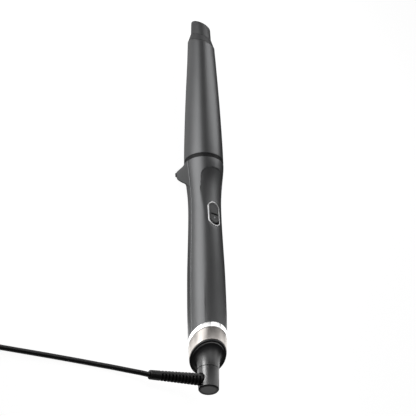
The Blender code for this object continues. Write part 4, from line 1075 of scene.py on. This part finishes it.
def make_lamp(name, height, turn, rise, distance, width, length, lean, spread, radiance):
    """Rectangular lamp that faces a point of the wand's axis, long side along the wand."""
    towards = studio_direction(turn, rise)
    centre = WAND @ Vector((0.0, 0.0, height * MM)) + towards * distance * MM
    along = WAND.to_3x3() @ Vector((0.0, 0.0, 1.0))
    along = (along - along.dot(towards) * towards).normalized()
    across = along.cross(towards)
    turned_frame = Matrix((across, along, towards)).transposed() @ Matrix.Rotation(math.radians(lean), 3, "Z")
    data = bpy.data.lights.new(name, "AREA")
    data.shape = "RECTANGLE"
    data.size = width * MM
    data.size_y = length * MM
    data.spread = math.radians(spread)
    data.energy = radiance * math.pi * data.size * data.size_y
    lamp = bpy.data.objects.new(name, data)
    lamp.matrix_world = turned_frame.to_4x4()
    lamp.location = centre
    lamp.visible_camera = False
    bpy.context.scene.collection.objects.link(lamp)


def make_studio():
    """World that is white to the eye and lights the wand with a few soft patches."""
    world = bpy.data.worlds.new("studio")
    bpy.context.scene.world = world
    world.use_nodes = True
    tree = world.node_tree
    tree.nodes.clear()
    place = node(tree, "ShaderNodeTexCoord")
    total = None
    for turn, rise, inner, outer, strength in SOFT_PATCHES:
        dot = node(tree, "ShaderNodeVectorMath", operation="DOT_PRODUCT")
        tree.links.new(place.outputs["Generated"], dot.inputs[0])
        dot.inputs[1].default_value = studio_direction(turn, rise)
        ramp = node(tree, "ShaderNodeMapRange", interpolation_type="SMOOTHSTEP")
        ramp.inputs["From Min"].default_value = math.cos(math.radians(outer))
        ramp.inputs["From Max"].default_value = math.cos(math.radians(inner))
        ramp.inputs["To Max"].default_value = strength
        tree.links.new(dot.outputs["Value"], ramp.inputs["Value"])
        add = node(tree, "ShaderNodeMath", operation="ADD")
        tree.links.new(ramp.outputs["Result"], add.inputs[0])
        if total is None:
            add.inputs[1].default_value = STUDIO_BASE
        else:
            tree.links.new(total, add.inputs[1])
        total = add.outputs["Value"]
    white = (1.0, 1.0, 1.0, 1.0)
    light = node(tree, "ShaderNodeBackground", Color=white)
    tree.links.new(total, light.inputs["Strength"])
    seen = node(tree, "ShaderNodeBackground", Color=white, Strength=1.0)
    path = node(tree, "ShaderNodeLightPath")
    mix = node(tree, "ShaderNodeMixShader")
    output = node(tree, "ShaderNodeOutputWorld")
    tree.links.new(path.outputs["Is Camera Ray"], mix.inputs[0])
    tree.links.new(light.outputs["Background"], mix.inputs[1])
    tree.links.new(seen.outputs["Background"], mix.inputs[2])
    tree.links.new(mix.outputs["Shader"], output.inputs["Surface"])
    bpy.context.scene.view_settings.view_transform = "Standard"
    for lamp in LAMPS:
        make_lamp(*lamp)


def carry_over(finishes):
    """Give every CAD node the material of its slot."""
    for row in frame["record"]["subparts"]:
        item = frame["nodes"][row["node"]]
        if not item.material_slots:
            item.data.materials.append(finishes[row["material_slot"]])
        for slot in item.material_slots:
            slot.material = finishes[row["material_slot"]]


def main():
    """Camera and cord first, then the wand's pieces and the stage."""
    finishes = make_finishes()
    make_camera()
    cord = make_cord(finishes)
    tie = make_tie(finishes)
    plug = make_plug(finishes)
    make_swivel(finishes)
    make_base_rings(finishes)
    make_casing(finishes)
    make_bezel(finishes)
    make_button(finishes)
    make_barrel(finishes)
    carry_over(finishes)
    make_floor()
    make_studio()


main()
